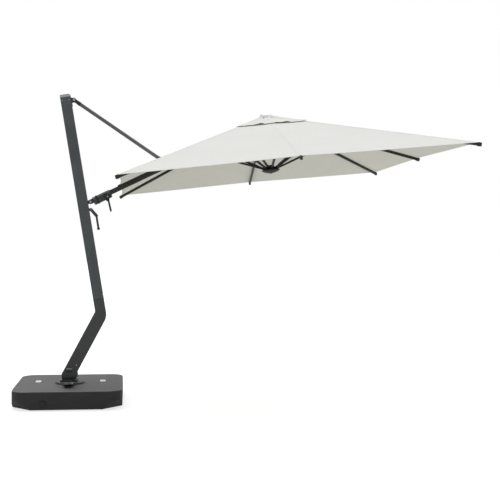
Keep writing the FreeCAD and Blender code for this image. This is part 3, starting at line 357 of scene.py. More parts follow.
@dataclass(frozen=True)
class WovenCloth:
    """Canvas of dyed yarn: a plain weave, slubs, soft unevenness and stitching.

    The piece's map is in metres: across runs from the rib or along the hem, and up
    runs from the hem or along the seam.
    """

    name: str
    colour: Colour
    shadow: Colour
    stitching: Stitching = Stitching.NONE
    yarn: float = 0.0018
    stitch: float = 0.0045
    rows: tuple[float, ...] = ()
    band: float = 0.0

    def build(self) -> bpy.types.Material:
        """Returns the material: yarns cross as a product of two sine waves."""
        graph = Paint(self.name)
        place = graph.add("ShaderNodeTexCoord").outputs["UV"]
        across, along, _ = graph.apart(place)
        turn = TAU / self.yarn
        yarns = (across * turn).sine() * (along * turn).sine() * 0.5 + 0.5
        slubs = graph.noise(260.0, 3.0, 0.6, graph.stretched((1.0, 0.25, 1.0)))
        mottle = graph.noise(3.2, 5.0, 0.6)
        shade = 0.10 * (1.0 - yarns) + 0.30 * slubs.ramp(0.45, 0.75) + 0.45 * mottle
        height = yarns * 0.6 + slubs * 0.5 + graph.noise(11.0, 3.0) * 4.0
        if self.stitching is not Stitching.NONE:
            down, run = (along, across) if self.stitching is Stitching.HEM \
                else (abs(across), along)
            dash = abs((run % self.stitch) / self.stitch - 0.5).ramp(0.42, 0.34)
            thread: Operand = 0.0
            for row in self.rows:
                thread = abs(down - row).ramp(0.0011, 0.0005) + thread
            thread = thread * dash
            pucker = (run * (TAU / 0.021)).sine() * abs(down - self.band).ramp(0.02, 0.0)
            shade = shade + 0.55 * thread
            height = height + 3.0 * thread + 1.6 * pucker
        graph.set_inputs({
            "Base Color": graph.blend(shade, self.colour, self.shadow),
            "Roughness": 0.86 + 0.08 * (slubs - 0.5), "Sheen Weight": 0.08,
            "Specular IOR Level": 0.15})
        graph.relief(height, 0.00022, 0.6)
        return graph.material


@dataclass(frozen=True)
class Mineral:
    """Packed sand or rubber crumb: grains of mixed shade."""

    name: str
    colour: Colour
    grain_colour: Colour
    scale: float = 500.0
    roughness: float = 0.85

    def build(self) -> bpy.types.Material:
        """Returns the material: cells give each grain its edge and shade."""
        graph = Paint(self.name)
        grains = graph.cells(self.scale)
        patches = graph.noise(18.0, 4.0)
        graph.set_inputs({
            "Base Color": graph.blend(grains * 0.7 + patches * 0.3, self.colour,
                                      self.grain_colour),
            "Roughness": self.roughness - 0.1 * patches})
        graph.relief(grains, 0.0002)
        return graph.material


CLOTH, CLOTH_SHADOW = tone(242, 243, 240), tone(226, 226, 221)
# The cloth's underside: the same canvas, darkened and warmed as painted shade.
UNDERSIDE_SHADE, UNDERSIDE_SHADE_DARK = tone(234, 234, 222), tone(214, 214, 202)
FINISHES: dict[str, Any] = {
    # Upward faces turn much paler: partly dusty, partly painted light from above.
    "tank_plastic": MouldedPlastic("tank_moulding", tone(40, 40, 40), tone(100, 101, 101),
                                   0.55, dust_and_top_light=0.8, specular=0.35),
    "ballast": Mineral("ballast_sand", tone(176, 164, 140), tone(140, 128, 104)),
    "foot_rubber": Mineral("foot_rubber", tone(26, 26, 26), tone(44, 44, 44), 900.0),
    "steel_plate": PowderCoat("plate_paint", tone(52, 53, 55), tone(66, 67, 68)),
    "bearing_plastic": MouldedPlastic("bearing_moulding", tone(196, 196, 192),
                                      tone(208, 208, 204), 0.4),
    "lid_plastic": MouldedPlastic("lid_moulding", tone(236, 236, 234), tone(246, 246, 244),
                                  0.38, grain=260.0, grain_depth=0.00006),
    "dark_plastic": MouldedPlastic("dark_moulding", tone(28, 28, 28), tone(52, 52, 52), 0.42),
    "mast_aluminium": PowderCoat("mast_coat", tone(78, 83, 84), tone(87, 92, 93)),
    "cast_aluminium": CastMetal("cast_coat", tone(62, 64, 66), tone(104, 107, 109)),
    "cap_plastic": MouldedPlastic("cap_moulding", tone(176, 180, 181), tone(206, 209, 210)),
    "bright_steel": BrightMetal("plated_steel", tone(200, 200, 202)),
    "nylon": MouldedPlastic("nylon_moulding", tone(216, 214, 206), tone(226, 224, 218), 0.4),
    "rib_aluminium": PowderCoat("rib_coat", tone(24, 24, 20), tone(34, 34, 28), 0.38),
    "canopy_cloth": WovenCloth("canopy_canvas", CLOTH, CLOTH_SHADOW),
    "hem_cloth": WovenCloth("hem_canvas", CLOTH, CLOTH_SHADOW, Stitching.HEM,
                            rows=(0.004, 0.023), band=0.014),
    # The underside finishes paint shade onto the cloth's underside.
    "canopy_underside_shade": WovenCloth("canopy_underside_shade", UNDERSIDE_SHADE, UNDERSIDE_SHADE_DARK),
    "hem_underside_shade": WovenCloth("hem_underside_shade", UNDERSIDE_SHADE, UNDERSIDE_SHADE_DARK, Stitching.HEM,
                             rows=(0.004, 0.023), band=0.014),
    "seam_cloth": WovenCloth("seam_canvas", CLOTH, CLOTH_SHADOW, Stitching.SEAM,
                             rows=(0.010,), band=0.010),
    "strut_coat": PowderCoat("strut_coat", tone(92, 94, 96), tone(102, 104, 105), 0.36),
    # Pale grey plastic: on the winch housing's top edges it is a painted highlight; it also
    # makes the pedal's pale end.
    "pale_edge": MouldedPlastic("pale_edge_moulding", tone(118, 122, 122), tone(140, 144, 144)),
    # A pale bead on the tank's top edge: a painted highlight.
    "rim_highlight_plastic": MouldedPlastic("rim_highlight_moulding", tone(120, 121, 121), tone(178, 179, 179),
                                  dust_and_top_light=0.8),
    # Upward faces turn much paler: partly dusty, partly painted light from above.
    "disc_plastic": MouldedPlastic("disc_moulding", tone(62, 63, 63), tone(98, 99, 99),
                                   0.55, dust_and_top_light=0.8, specular=0.35),
    # The boom's coat, darker than the mast's: painted shade from the canopy above it.
    "boom_shade_coat": PowderCoat("boom_shade_coat", tone(42, 43, 42), tone(50, 51, 50), 0.45),
    "stay_coat": PowderCoat("stay_coat", tone(20, 20, 17), tone(28, 28, 24), 0.5),
    # The leg's coat, darker than the mast's: painted shade low down.
    "leg_shade_coat": PowderCoat("leg_shade_coat", tone(68, 69, 70), tone(76, 77, 78), 0.45),
}


class FinishRack:
    """Builds each finish once and hands it out."""

    def __init__(self) -> None:
        """Starts with nothing built."""
        self.built: dict[str, bpy.types.Material] = {}

    def take(self, name: str) -> bpy.types.Material:
        """Returns the material of a named finish."""
        if name not in self.built:
            self.built[name] = FINISHES[name].build()
        return self.built[name]


# ---------------------------------------------------------------- geometry
def added(name: str, data: bpy.types.ID) -> bpy.types.Object:
    """Returns a new object of the scene that shows some data."""
    thing = bpy.data.objects.new(name, data)
    bpy.context.scene.collection.objects.link(thing)
    return thing


def points_of(node: bpy.types.Object) -> Array:
    """Returns a node's points, shaped (n, 3)."""
    points = np.empty(3 * len(node.data.vertices))
    node.data.vertices.foreach_get("co", points)
    return points.reshape(-1, 3)


@dataclass(frozen=True)
class Axes:
    """Right-handed axes at an origin."""

    origin: Array
    x: Array
    y: Array
    z: Array

    @staticmethod
    def tipped(origin: Sequence[float], degrees: float) -> "Axes":
        """Returns axes turned about +Y, where a positive angle tips +X downwards."""
        turn = math.radians(degrees)
        x = np.array([math.cos(turn), 0.0, -math.sin(turn)])
        z = np.array([math.sin(turn), 0.0, math.cos(turn)])
        return Axes(np.array(origin, float), x, SIDE, z)

    @staticmethod
    def upright(origin: Sequence[float]) -> "Axes":
        """Returns the object's own axes at an origin."""
        return Axes(np.array(origin, float), *np.eye(3))

    def place(self, local: Array) -> Array:
        """Turns local points, shaped (..., 3), into the object's own."""
        return (self.origin + local[..., 0:1] * self.x + local[..., 1:2] * self.y
                + local[..., 2:3] * self.z)

    def read(self, points: Array) -> Array:
        """Turns points of the object into local ones."""
        gap = points - self.origin
        return np.stack([gap @ self.x, gap @ self.y, gap @ self.z], axis=-1)

    def moved(self, x: float = 0.0, y: float = 0.0, z: float = 0.0) -> "Axes":
        """Returns the same axes at a local point."""
        spot = self.place(np.array([x, y, z]))
        return Axes(spot, self.x, self.y, self.z)

    def facing_side(self, sign: float) -> "Axes":
        """Returns axes whose z looks along this frame's y, or against it."""
        return Axes(self.origin, -sign * self.x, self.z, sign * self.y)

    def extent(self, node: bpy.types.Object) -> tuple[Array, Array]:
        """Returns a CAD node's lowest and highest local corners."""
        local = self.read(points_of(node))
        return local.min(axis=0), local.max(axis=0)


@dataclass
class Surface:
    """Points, four-sided faces, a map, and which faces are a cloth's underside, which gets
    painted shade.
    """

    points: Array
    faces: Array
    chart: Array
    shaded_underside: Array

    @staticmethod
    def grid(points: Array, wrap_rows: bool = False, wrap_columns: bool = False,
             chart: Optional[Array] = None) -> "Surface":
        """Returns the faces between neighbouring points of a (rows, columns, 3) grid.

        Args:
            points: the grid.
            wrap_rows: whether the last row joins the first.
            wrap_columns: whether the last column joins the first.
            chart: the map, shaped (rows, columns, 2).
        """
        rows, columns = points.shape[:2]
        index = np.arange(rows * columns).reshape(rows, columns)
        if wrap_rows:
            index = np.vstack([index, index[:1]])
        if wrap_columns:
            index = np.hstack([index, index[:, :1]])
        faces = np.stack([index[:-1, :-1], index[:-1, 1:], index[1:, 1:], index[1:, :-1]],
                         axis=-1).reshape(-1, 4)
        if chart is None:
            chart = np.zeros((rows, columns, 2))
        return Surface(points.reshape(-1, 3), faces, chart.reshape(-1, 2),
                       np.zeros(len(faces), dtype=bool))


def closed_sheet(top: Array, bottom: Array, chart: Array) -> Surface:
    """Returns a thin closed shell between two grids of the same shape.

    The rows of the upper grid run on into those of the lower one in reverse, which
    makes a flat tube, and two narrow grids close its ends.
    """
    loop = np.concatenate([top, bottom[::-1]])
    maps = np.concatenate([chart, chart[::-1]])
    tube = Surface.grid(loop, wrap_rows=True, chart=maps)
    rows, columns = top.shape[:2]
    # The lower grid's faces are the underside, which gets painted shade.
    tube.shaded_underside[rows * (columns - 1):(2 * rows - 1) * (columns - 1)] = True
    start = Surface.grid(np.stack([top[:, 0], bottom[:, 0]], axis=1),
                         chart=np.stack([chart[:, 0]] * 2, axis=1))
    end = Surface.grid(np.stack([bottom[:, -1], top[:, -1]], axis=1),
                       chart=np.stack([chart[:, -1]] * 2, axis=1))
    return joined([tube, start, end])


def layered(axes: Axes, local: Array, chart: Array, over: float, under: float) -> Surface:
    """Returns the closed shell that reaches over and under a grid of local points."""
    return closed_sheet(axes.place(local + [0, 0, over]), axes.place(local - [0, 0, under]),
                        chart)


def joined(surfaces: Sequence[Surface]) -> Surface:
    """Returns several surfaces as one."""
    shift = np.cumsum([0] + [len(surface.points) for surface in surfaces[:-1]])
    return Surface(np.vstack([surface.points for surface in surfaces]),
                   np.vstack([surface.faces + step for surface, step in zip(surfaces, shift)]),
                   np.vstack([surface.chart for surface in surfaces]),
                   np.concatenate([surface.shaded_underside for surface in surfaces]))


def turned(axes: Axes, radii: Sequence[float], heights: Sequence[float], sides: int = 40,
           waves: Optional[Callable[[Array, Array], Array]] = None) -> Surface:
    """Returns a profile turned about z.

    Each profile point goes round a circle of its own radius. Waves, given the angles
    and radii, is added to the heights. Profiles start and end on the axis.
    """
    radius, height = np.array(radii, float)[:, None], np.array(heights, float)[:, None]
    angle = np.linspace(0, TAU, sides, endpoint=False)[None, :]
    level = height + (waves(angle, radius) if waves else 0 * angle)
    local = np.stack([radius * np.cos(angle), radius * np.sin(angle),
                      level + 0 * angle], axis=-1)
    chart = np.stack([radius * angle, height + 0 * angle], axis=-1)
    return Surface.grid(axes.place(local), wrap_columns=True, chart=chart)


def hooped(axes: Axes, outline: Sequence[tuple[float, float]], sides: int = 56,
           waves: Optional[Callable[[Array], Array]] = None) -> Surface:
    """Returns a closed (radius, height) outline turned about z, clear of the axis.

    Waves, given the angles, is added to every radius over the smallest one.
    """
    pairs = np.array(outline, float)
    angle = np.linspace(0, TAU, sides, endpoint=False)[None, :]
    radius = pairs[:, :1] + 0 * angle
    if waves:
        radius = radius + waves(angle) * (pairs[:, :1] > pairs[:, 0].min() + 1e-6)
    local = np.stack([radius * np.cos(angle), radius * np.sin(angle),
                      pairs[:, 1:] + 0 * angle], axis=-1)
    return Surface.grid(axes.place(local), wrap_rows=True, wrap_columns=True)


def swept(path: Array, profile: Array, normals: Array) -> Surface:
    """Returns a closed profile carried along a path that closes on itself.

    Args:
        path: the path's points, shaped (n, 3).
        profile: (out, up) pairs, shaped (m, 2).
        normals: each path point's outward and upward directions, shaped (n, 2, 3).
    """
    points = (path[:, None] + profile[None, :, 0:1] * normals[:, None, 0]
              + profile[None, :, 1:2] * normals[:, None, 1])
    return Surface.grid(points, wrap_rows=True, wrap_columns=True)


def squared(wave: Array, power: float) -> Array:
    """Pushes a wave towards its ends, by a power that keeps its sign."""
    return np.sign(wave) * np.abs(wave) ** power


def soft_block(axes: Axes, half: Sequence[float], power: float = 0.28, rings: int = 20,
               sides: int = 40) -> Surface:
    """Returns a box with rounded edges, as a superellipsoid.

    The sines and cosines of latitude and longitude are each raised to the same small
    power, keeping their signs, and scaled by half sizes.
    """
    climb = np.linspace(-math.pi / 2, math.pi / 2, rings)[:, None]
    angle = np.linspace(0, TAU, sides, endpoint=False)[None, :]
    around = squared(np.cos(climb), power)
    local = np.stack([half[0] * around * squared(np.cos(angle), power),
                      half[1] * around * squared(np.sin(angle), power),
                      half[2] * squared(np.sin(climb), power) + 0 * angle], axis=-1)
    return Surface.grid(axes.place(local), wrap_columns=True)


def rounded_loop(half_x: float, half_y: float, corner: float, per_corner: int = 14,
                 per_side: int = 8) -> tuple[Array, Array]:
    """Returns a rounded rectangle's points and outward directions.

    Each quarter turns through a right angle on its corner's circle, and straight runs
    join the quarters.
    """
    def centre(quarter: int) -> Array:
        """Returns the middle of a quarter's circle."""
        return np.array([(half_x - corner) * (1 if quarter in (0, 3) else -1),
                         (half_y - corner) * (1 if quarter in (0, 1) else -1)])
    spots, outs = [], []
    for quarter in range(4):
        angle = quarter * math.pi / 2 + np.linspace(0, math.pi / 2, per_corner)
        out = np.stack([np.cos(angle), np.sin(angle)], axis=-1)
        start, end = centre(quarter), centre((quarter + 1) % 4)
        share = np.linspace(0, 1, per_side + 2)[1:-1, None]
        spots += [start + corner * out,
                  (start + corner * out[-1]) * (1 - share) + (end + corner * out[-1]) * share]
        outs += [out, np.repeat(out[-1:], per_side, axis=0)]
    return np.vstack(spots), np.vstack(outs)


class Workshop:
    """Turns surfaces into finished pieces that ride on the frame's bodies."""

    def __init__(self, frame: dict[str, Any]) -> None:
        """Keeps the frame and a rack of finishes."""
        self.frame = frame
        self.nodes: dict[str, bpy.types.Object] = frame["nodes"]
        self.joints = {joint["name"]: joint for joint in frame["joints"]}
        self.rack = FinishRack()

    def pivot(self, joint: str) -> Array:
        """Returns a joint's place."""
        return np.array(self.joints[joint]["pos_m"], float)

    def axis(self, joint: str) -> Array:
        """Returns a joint's direction as a unit vector."""
        way = np.array(self.joints[joint]["axis"], float)
        return way / np.linalg.norm(way)

    def box(self, node: str) -> tuple[Array, Array]:
        """Returns a node's lowest and highest corners."""
        low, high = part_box(node)
        return np.array(low), np.array(high)

    def centre(self, node: str) -> Array:
        """Returns the middle of a node's box."""
        return sum(self.box(node)) / 2

    def along(self, node: str) -> Axes:
        """Returns axes at a node's middle, with z square to its largest sloping face."""
        mesh = self.nodes[node].data
        areas = np.empty(len(mesh.polygons))
        normals = np.empty(3 * len(mesh.polygons))
        mesh.polygons.foreach_get("area", areas)
        mesh.polygons.foreach_get("normal", normals)
        normals = normals.reshape(-1, 3)
        z = normals[np.argmax(areas * (np.abs(normals[:, 1]) < 0.1))]
        z = np.array([z[0], 0.0, z[2]]) * np.sign(z[2])
        z /= np.linalg.norm(z)
        return Axes(self.centre(node), np.cross(SIDE, z), SIDE, z)

    def reaching(self, node: str, joint: str) -> Axes:
        """Returns axes at a joint whose x runs to the far end of a node."""
        pivot, side = self.pivot(joint), self.axis(joint)
        away = points_of(self.nodes[node]) - pivot
        reach = np.linalg.norm(away, axis=1)
        out = away[reach > reach.max() - 0.006].mean(axis=0)
        out -= side * (out @ side)
        out /= np.linalg.norm(out)
        up = np.cross(out, side)
        up = up * (1.0 if up[2] > 0 else -1.0)
        return Axes(pivot, out, np.cross(up, out), up)

    def piece(self, name: str, surface: Surface, finish: str, body: str,
              slot: Optional[str] = None, crease: float = 32.0,
              shaded_underside: Optional[str] = None,
              replaces: Sequence[str] = ()) -> bpy.types.Object:
        """Builds one piece.

        Args:
            name: the piece's name.
            surface: its faces.
            finish: the finish on it.
            body: the body it rides on.
            slot: not used.
            crease: the angle, in degrees, above which an edge shows sharp.
            shaded_underside: the finish of a cloth's underside, its colour darkened as painted
                shade.
            replaces: the CAD nodes it stands for.

        Returns:
            The object.
        """
        mesh = bpy.data.meshes.new(name)
        mesh.from_pydata(surface.points.tolist(), [], surface.faces.tolist())
        chart = mesh.uv_layers.new(name="weave")
        mesh.polygons.foreach_set("material_index", surface.shaded_underside.astype(np.int32)
                                  * (1 if shaded_underside else 0))
        corners = np.empty(len(mesh.loops), dtype=np.int32)
        mesh.loops.foreach_get("vertex_index", corners)
        chart.data.foreach_set("uv", surface.chart[corners].ravel())
        work = bmesh.new()
        work.from_mesh(mesh)
        bmesh.ops.remove_doubles(work, verts=work.verts, dist=2e-6)
        bmesh.ops.dissolve_degenerate(work, edges=work.edges, dist=1e-7)
        bmesh.ops.recalc_face_normals(work, faces=work.faces)
        work.to_mesh(mesh)
        work.free()
        mesh.shade_smooth()
        mesh.set_sharp_from_angle(angle=math.radians(crease))
        thing = added(name, mesh)
        for layer in filter(None, (finish, shaded_underside)):
            mesh.materials.append(self.rack.take(layer))
        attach(thing, body)
        if replaces:
            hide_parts(*replaces)
        log.info("%s rides on %s with %d faces", name, body, len(mesh.polygons))
        return thing


AZIMUTHS = tuple(range(0, 360, 45))


def rib_body(azimuth: int) -> str:
    """Returns the name of a rib's body."""
    return f"rib_{azimuth:03d}"


def fold_joint(azimuth: int) -> str:
    """Returns the name of the joint that folds a rib."""
    return "canopy_fold" if azimuth == 0 else f"rib_{azimuth:03d}_fold"


def canopy_axes(shop: Workshop) -> Axes:
    """Returns axes on the canopy's own axis, x towards the front rib's pivot."""
    front, back = shop.pivot(fold_joint(0)), shop.pivot(fold_joint(180))
    x = (front - back) / np.linalg.norm(front - back)
    return Axes((front + back) / 2, x, SIDE, np.cross(x, SIDE))


# ---------------------------------------------------------------- canopy cloth
@dataclass
class Canopy:
    """The main cloth: one stretched square roof in eight petals, each on its rib.

    A point is given by far, its distance from the axis square to the nearest side, and
    lean, which goes from 0 over a mid rib to 1 over a corner rib.
    """

    shop: Workshop
    inset: float = 0.020
    scallop: float = 0.016
    sag: float = 0.017
    hem_sag: float = 0.45
    thick: float = 0.0012
    slit: float = 0.024
    keep: float = 0.10
    rows: int = 56
    columns: int = 18
    hem_wide: float = 0.028
    tape_half: float = 0.014
    tape_over: float = 0.0010
    band_over: float = 0.0007
    band_under: float = 0.0008
    band_past: float = 0.0012
    lug_clear: float = 0.075
    notch_run: float = 0.03
    flap_lap: float = 0.010
    flap_over: float = 0.0022
    flap_gap: float = 0.0006
    axes: Axes = field(init=False)
    half: float = field(init=False)
    hole: float = field(init=False)
    apex: float = field(init=False)
    mid_slope: float = field(init=False)
    side_slope: float = field(init=False)

    def __post_init__(self) -> None:
        """Reads the roof's size and slopes from the CAD petals."""
        self.axes = canopy_axes(self.shop)
        low, high = self.axes.extent(self.shop.nodes["petal_000"])
        self.half, self.hole, hole_level = high[0], low[0], high[2]
        points = self.turned(45).read(points_of(self.shop.nodes["petal_045"]))
        mid = self.axes.read(points_of(self.shop.nodes["petal_000"]))
        rim_level = mid[mid[:, 0] > self.half - 1e-3][:, 2].max()
        self.mid_slope = (hole_level - rim_level) / (self.half - self.hole)
        self.apex = hole_level + self.mid_slope * self.hole
        tip = points[:, 0].max()
        tip_level = points[points[:, 0] > tip - 1e-3][:, 2].max()
        self.side_slope = (self.apex - tip_level) / self.half - self.mid_slope

    def turned(self, azimuth: float) -> Axes:
        """Returns the canopy's axes turned about its own axis."""
        turn = math.radians(azimuth)
        x = self.axes.x * math.cos(turn) + self.axes.y * math.sin(turn)
        return Axes(self.axes.origin, x, np.cross(self.axes.z, x), self.axes.z)

    def level(self, far: Array, lean: Array) -> Array:
        """Returns the cloth's height.

        A square pyramid falls by the mid slope over far and by the side slope over far
        times lean. A sag is taken off it that is nothing over ribs, greatest halfway
        between them as four times lean times one less lean, and that grows from the
        middle as one less the square of the share left, and eases at the hem.
        """
        share = np.clip(far / self.half, 0, 1.02)
        swell = (1 - (1 - share) ** 2) * (1 - (1 - self.hem_sag) * share ** 4)
        between = 4 * lean * (1 - lean)
        fall = self.mid_slope * far + self.side_slope * far * lean
        return self.apex - fall - self.sag * swell * between

    def spread(self, azimuth: int, far: Array, side: Array) -> tuple[Array, Array, Array]:
        """Places points of one petal on the plan.

        Args:
            azimuth: the rib's direction.
            far: distance square to the panel's side.
            side: from -1 to 1, from one panel's middle over the rib to the next.

        Returns:
            Plan coordinates in the canopy's axes, and the lean.
        """
        corner = azimuth % 90 != 0
        lean = 1 - np.abs(side) / 2 if corner else np.abs(side) / 2
        near = far * lean
        if corner:
            x, y = np.where(side < 0, far, near), np.where(side < 0, near, far)
            turn = math.radians(azimuth - 45)
        else:
            x, y = far, near * np.sign(side)
            turn = math.radians(azimuth)
        return (x * math.cos(turn) - y * math.sin(turn),
                x * math.sin(turn) + y * math.cos(turn), lean)

    def hem(self, side: Array) -> Array:
        """Returns how far out the hem is: drawn in by a parabola between two ribs."""
        return self.half - self.inset - self.scallop * np.abs(side) * (2 - np.abs(side))

    def petal_grid(self, azimuth: int, side: Array, low: Array, high: Array,
                   rows: int, lift: float) -> tuple[Array, Array]:
        """Returns a grid on the roof between two distances, and its map in metres."""
        share = np.linspace(0, 1, rows)[:, None]
        far = low + (high - low) * share + 0 * side[None, :]
        x, y, lean = self.spread(azimuth, far, side[None, :] + 0 * far)
        z = self.level(far, lean) + lift
        across = far * (side[None, :]) / 2
        chart = np.stack([across, self.hem(side)[None, :] - far], axis=-1)
        return np.stack([x, y, z], axis=-1), chart

    def sides_of(self, azimuth: int) -> list[Array]:
        """Returns the runs from one panel's middle to the other: two beside the slit."""
        run = np.linspace(-1, 1, 2 * self.columns + 1)
        if azimuth != 180:
            return [run]
        return [run[run <= 0], run[run >= 0]]

    def open_slit(self, azimuth: int, grid: Array) -> Array:
        """Pulls points that lie over the boom back to the slit's edge."""
        if azimuth != 180:
            return grid
        sign = 1.0 if grid[..., 1].mean() > 0 else -1.0
        grid[..., 1] = sign * np.maximum(sign * grid[..., 1], self.slit)
        return grid

    def shell(self, azimuth: int, side: Array, low: Array, high: Array, rows: int,
              over: float, under: float) -> Surface:
        """Returns a closed sheet that follows the roof between two distances."""
        top, chart = self.petal_grid(azimuth, side, low, high, rows, over)
        bottom, _ = self.petal_grid(azimuth, side, low, high, rows, -under)
        top, bottom = self.open_slit(azimuth, top), self.open_slit(azimuth, bottom)
        return closed_sheet(self.axes.place(top), self.axes.place(bottom), chart)

    def follow(self, thing: bpy.types.Object, azimuth: int) -> None:
        """Reads the rib's fold joint, and gives a cloth piece its own copy of its mesh."""
        joint = fold_joint(azimuth)
        tuple(self.shop.axis(joint))
        tuple(self.shop.pivot(joint))
        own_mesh(thing)

    def build_petal(self, azimuth: int) -> None:
        """Builds one rib's cloth, its hem band and its seam tape."""
        runs = self.sides_of(azimuth)
        hole = np.full(1, self.hole)
        body, tag = rib_body(azimuth), f"{azimuth:03d}"
        cloth = self.shop.piece(
            f"canopy_cloth_{tag}",
            joined([self.shell(azimuth, run, hole, self.hem(run), self.rows, 0.0,
                               self.thick) for run in runs]),
            "canopy_cloth", body, crease=60, shaded_underside="canopy_underside_shade",
            replaces=[f"petal_{tag}"])
        band = self.shop.piece(
            f"canopy_hem_{tag}",
            joined([self.shell(azimuth, run, self.hem(run) - self.hem_wide,
                               self.hem(run) + self.band_past, 5, self.band_over,
                               self.thick + self.band_under)
                    for run in runs]),
            "hem_cloth", body, crease=60, shaded_underside="hem_underside_shade")
        tape = self.build_tape(azimuth)
        for thing in (cloth, band, tape):
            self.follow(thing, azimuth)

    def build_tape(self, azimuth: int) -> bpy.types.Object:
        """Builds the sewn tape over a rib, or the two bound edges of the slit."""
        start, stop, half = self.hole + 0.004, self.half - self.inset - 0.001, self.tape_half
        corner = azimuth % 90 != 0
        stretch = math.sqrt(2) if corner else 1.0
        away = np.linspace(start, stop, self.rows * 2)[:, None] * stretch
        strips = []
        sides = [0.0] if azimuth != 180 else [-self.slit - half, self.slit + half]
        for middle in sides:
            span = middle + np.linspace(-half, half, 9)[None, :]
            x, y = away + 0 * span, span + 0 * away
            back = math.radians(45 if corner else 0)
            px = np.abs(x * math.cos(back) - y * math.sin(back))
            py = np.abs(x * math.sin(back) + y * math.cos(back))
            far, near = np.maximum(px, py), np.minimum(px, py)
            local = np.stack([x, y, self.level(far, near / far)], axis=-1)
            chart = np.stack([y - middle, x], axis=-1)
            strips.append(layered(self.turned(azimuth), local, chart, self.tape_over, 0.0002))
        return self.shop.piece(f"canopy_seam_{azimuth:03d}", joined(strips), "seam_cloth",
                               rib_body(azimuth), crease=60)

    def build_flaps(self) -> None:
        """Builds the two flaps that close the slit over the boom.

        Each flap reaches from the slit's edge to the middle, and stands back from the
        strut's lug by a smooth notch.
        """
        axes = self.turned(180)
        low, high = axes.extent(self.shop.nodes["strut_lug"])
        away = np.linspace(self.hole + 0.004, self.half - self.inset - 0.004, 150)[:, None]
        inside = np.minimum(away - (low[0] - self.lug_clear),
                            (high[0] + self.lug_clear) - away)
        hit = np.clip(inside / self.notch_run, 0, 1)
        notch = hit * hit * (3 - 2 * hit)
        for sign, name in ((1.0, "left"), (-1.0, "right")):
            inner = self.flap_gap + (self.slit + 0.004) * notch
            share = np.linspace(0, 1, 7)[None, :]
            y = inner + (self.slit + self.flap_lap - inner) * share
            x = away + 0 * y
            z = self.level(x, y / x) + self.flap_over
            local = np.stack([x, sign * y, z], axis=-1)
            chart = np.stack([y - 0.012, x], axis=-1)
            flap = self.shop.piece(f"canopy_flap_{name}",
                                   layered(axes, local, chart, 0.0, self.thick),
                                   "seam_cloth", rib_body(180), crease=60,
                                   shaded_underside="hem_underside_shade")
            anchor = axes.place(np.array([self.half / 2, sign * (self.slit + 0.01), 0.0]))
            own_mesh(flap)

    def build(self) -> None:
        """Builds the whole roof."""
        for azimuth in AZIMUTHS:
            self.build_petal(azimuth)
        self.build_flaps()


@dataclass
class VentTop:
    """The small upper cloth that shades the roof's opening, and the crown's cover."""

    roof: Canopy
    lift: float = 0.006
    gape: float = 0.022
    fold: float = 0.008
    rows: int = 34
    columns: int = 26
    thick: float = 0.0012
    cover: float = 0.078
    slack: float = 1.06
    inner: float = 0.046
    half: float = field(init=False)

    def __post_init__(self) -> None:
        """Reads the vent's size from its CAD solid."""
        self.half = float(self.roof.axes.extent(self.roof.shop.nodes["vent_cap"])[1][0])

    def surface_level(self, far: Array, lean: Array, turn: Array) -> Array:
        """Returns the upper cloth's height.

        It stands over the roof by a gap that grows with the square of the distance,
        gapes in slow waves near the rim, and gathers in radial folds near the crown.
        """
        share = np.clip((far - self.inner) / (self.half - self.inner), 0, 1)
        gap = self.lift * share ** 1.5 + 0.004
        waves = np.sin(turn * 9 + 0.6) + 0.6 * np.sin(turn * 17 + 1.9)
        gape = self.gape * np.clip(waves, 0, None) * share ** 6 * 0.62
        folds = np.sin(turn * 13) + 0.7 * np.sin(turn * 8 + 1.0)
        gathers = self.fold * folds * (1 - share) ** 2.5
        return self.roof.level(far, lean) + gap + gape + gathers

    def build(self) -> None:
        """Builds the eight sectors and the crown's cover."""
        roof, shop = self.roof, self.roof.shop
        side = np.linspace(-1, 1, 2 * self.columns + 1)[None, :]
        draw = 0.010 * np.abs(side) * (2 - np.abs(side))
        share = np.linspace(0, 1, self.rows)[:, None]
        far = self.inner + (self.half - draw - 0.004 - self.inner) * share
        for azimuth in AZIMUTHS:
            x, y, lean = roof.spread(azimuth, far, side + 0 * far)
            z = self.surface_level(far, lean, np.arctan2(y, x))
            chart = np.stack([x, self.half - far], axis=-1)
            local = np.stack([x, y, z], axis=-1)
            thing = shop.piece(f"vent_cloth_{azimuth:03d}",
                               layered(roof.axes, local, chart, 0.0, self.thick),
                               "hem_cloth", rib_body(azimuth), crease=60,
                               shaded_underside="hem_underside_shade", replaces=["vent_cap"])
            roof.follow(thing, azimuth)
        self.build_cover()

    def build_cover(self) -> None:
        """Builds the gathered cloth over the crown, a thin dome with a sunk middle."""
        shop = self.roof.shop
        low, _ = self.roof.axes.extent(shop.nodes["crown_cap"])
        base = float(low[2]) + 0.001
        radius = np.array([0.0, 0.012, 0.026, 0.040, 0.052, 0.060, 0.067, 0.073, self.cover])
        height = np.array([0.011, 0.0115, 0.014, 0.0185, 0.0205, 0.0175, 0.011, 0.002,
                           -0.008])

        def lumps(angle: Array, away: Array) -> Array:
            """Raises soft lumps that grow with the distance from the middle."""
            grow = np.clip(away / 0.055, 0, 1) ** 1.5
            fade = np.clip((0.079 - away) / 0.02, 0.35, 1)
            return grow * fade * (0.0060 * np.sin(2 * angle + 0.4)
                                  + 0.0042 * np.sin(5 * angle + 2)
                                  + 0.0022 * np.sin(9 * angle))
        axes = self.roof.axes.moved(z=base)
        top = turned(axes, radius, height, 72, lumps)
        under = turned(axes, radius[::-1], height[::-1] - 0.0015, 72, lumps)
        rim = turned(axes, [self.cover, self.cover], [height[-1], height[-1] - 0.0015], 72,
                     lumps)
        cover = shop.piece("crown_cover", joined([top, rim, under]), "canopy_cloth", "boom",
                           crease=60, replaces=["crown_cap"])


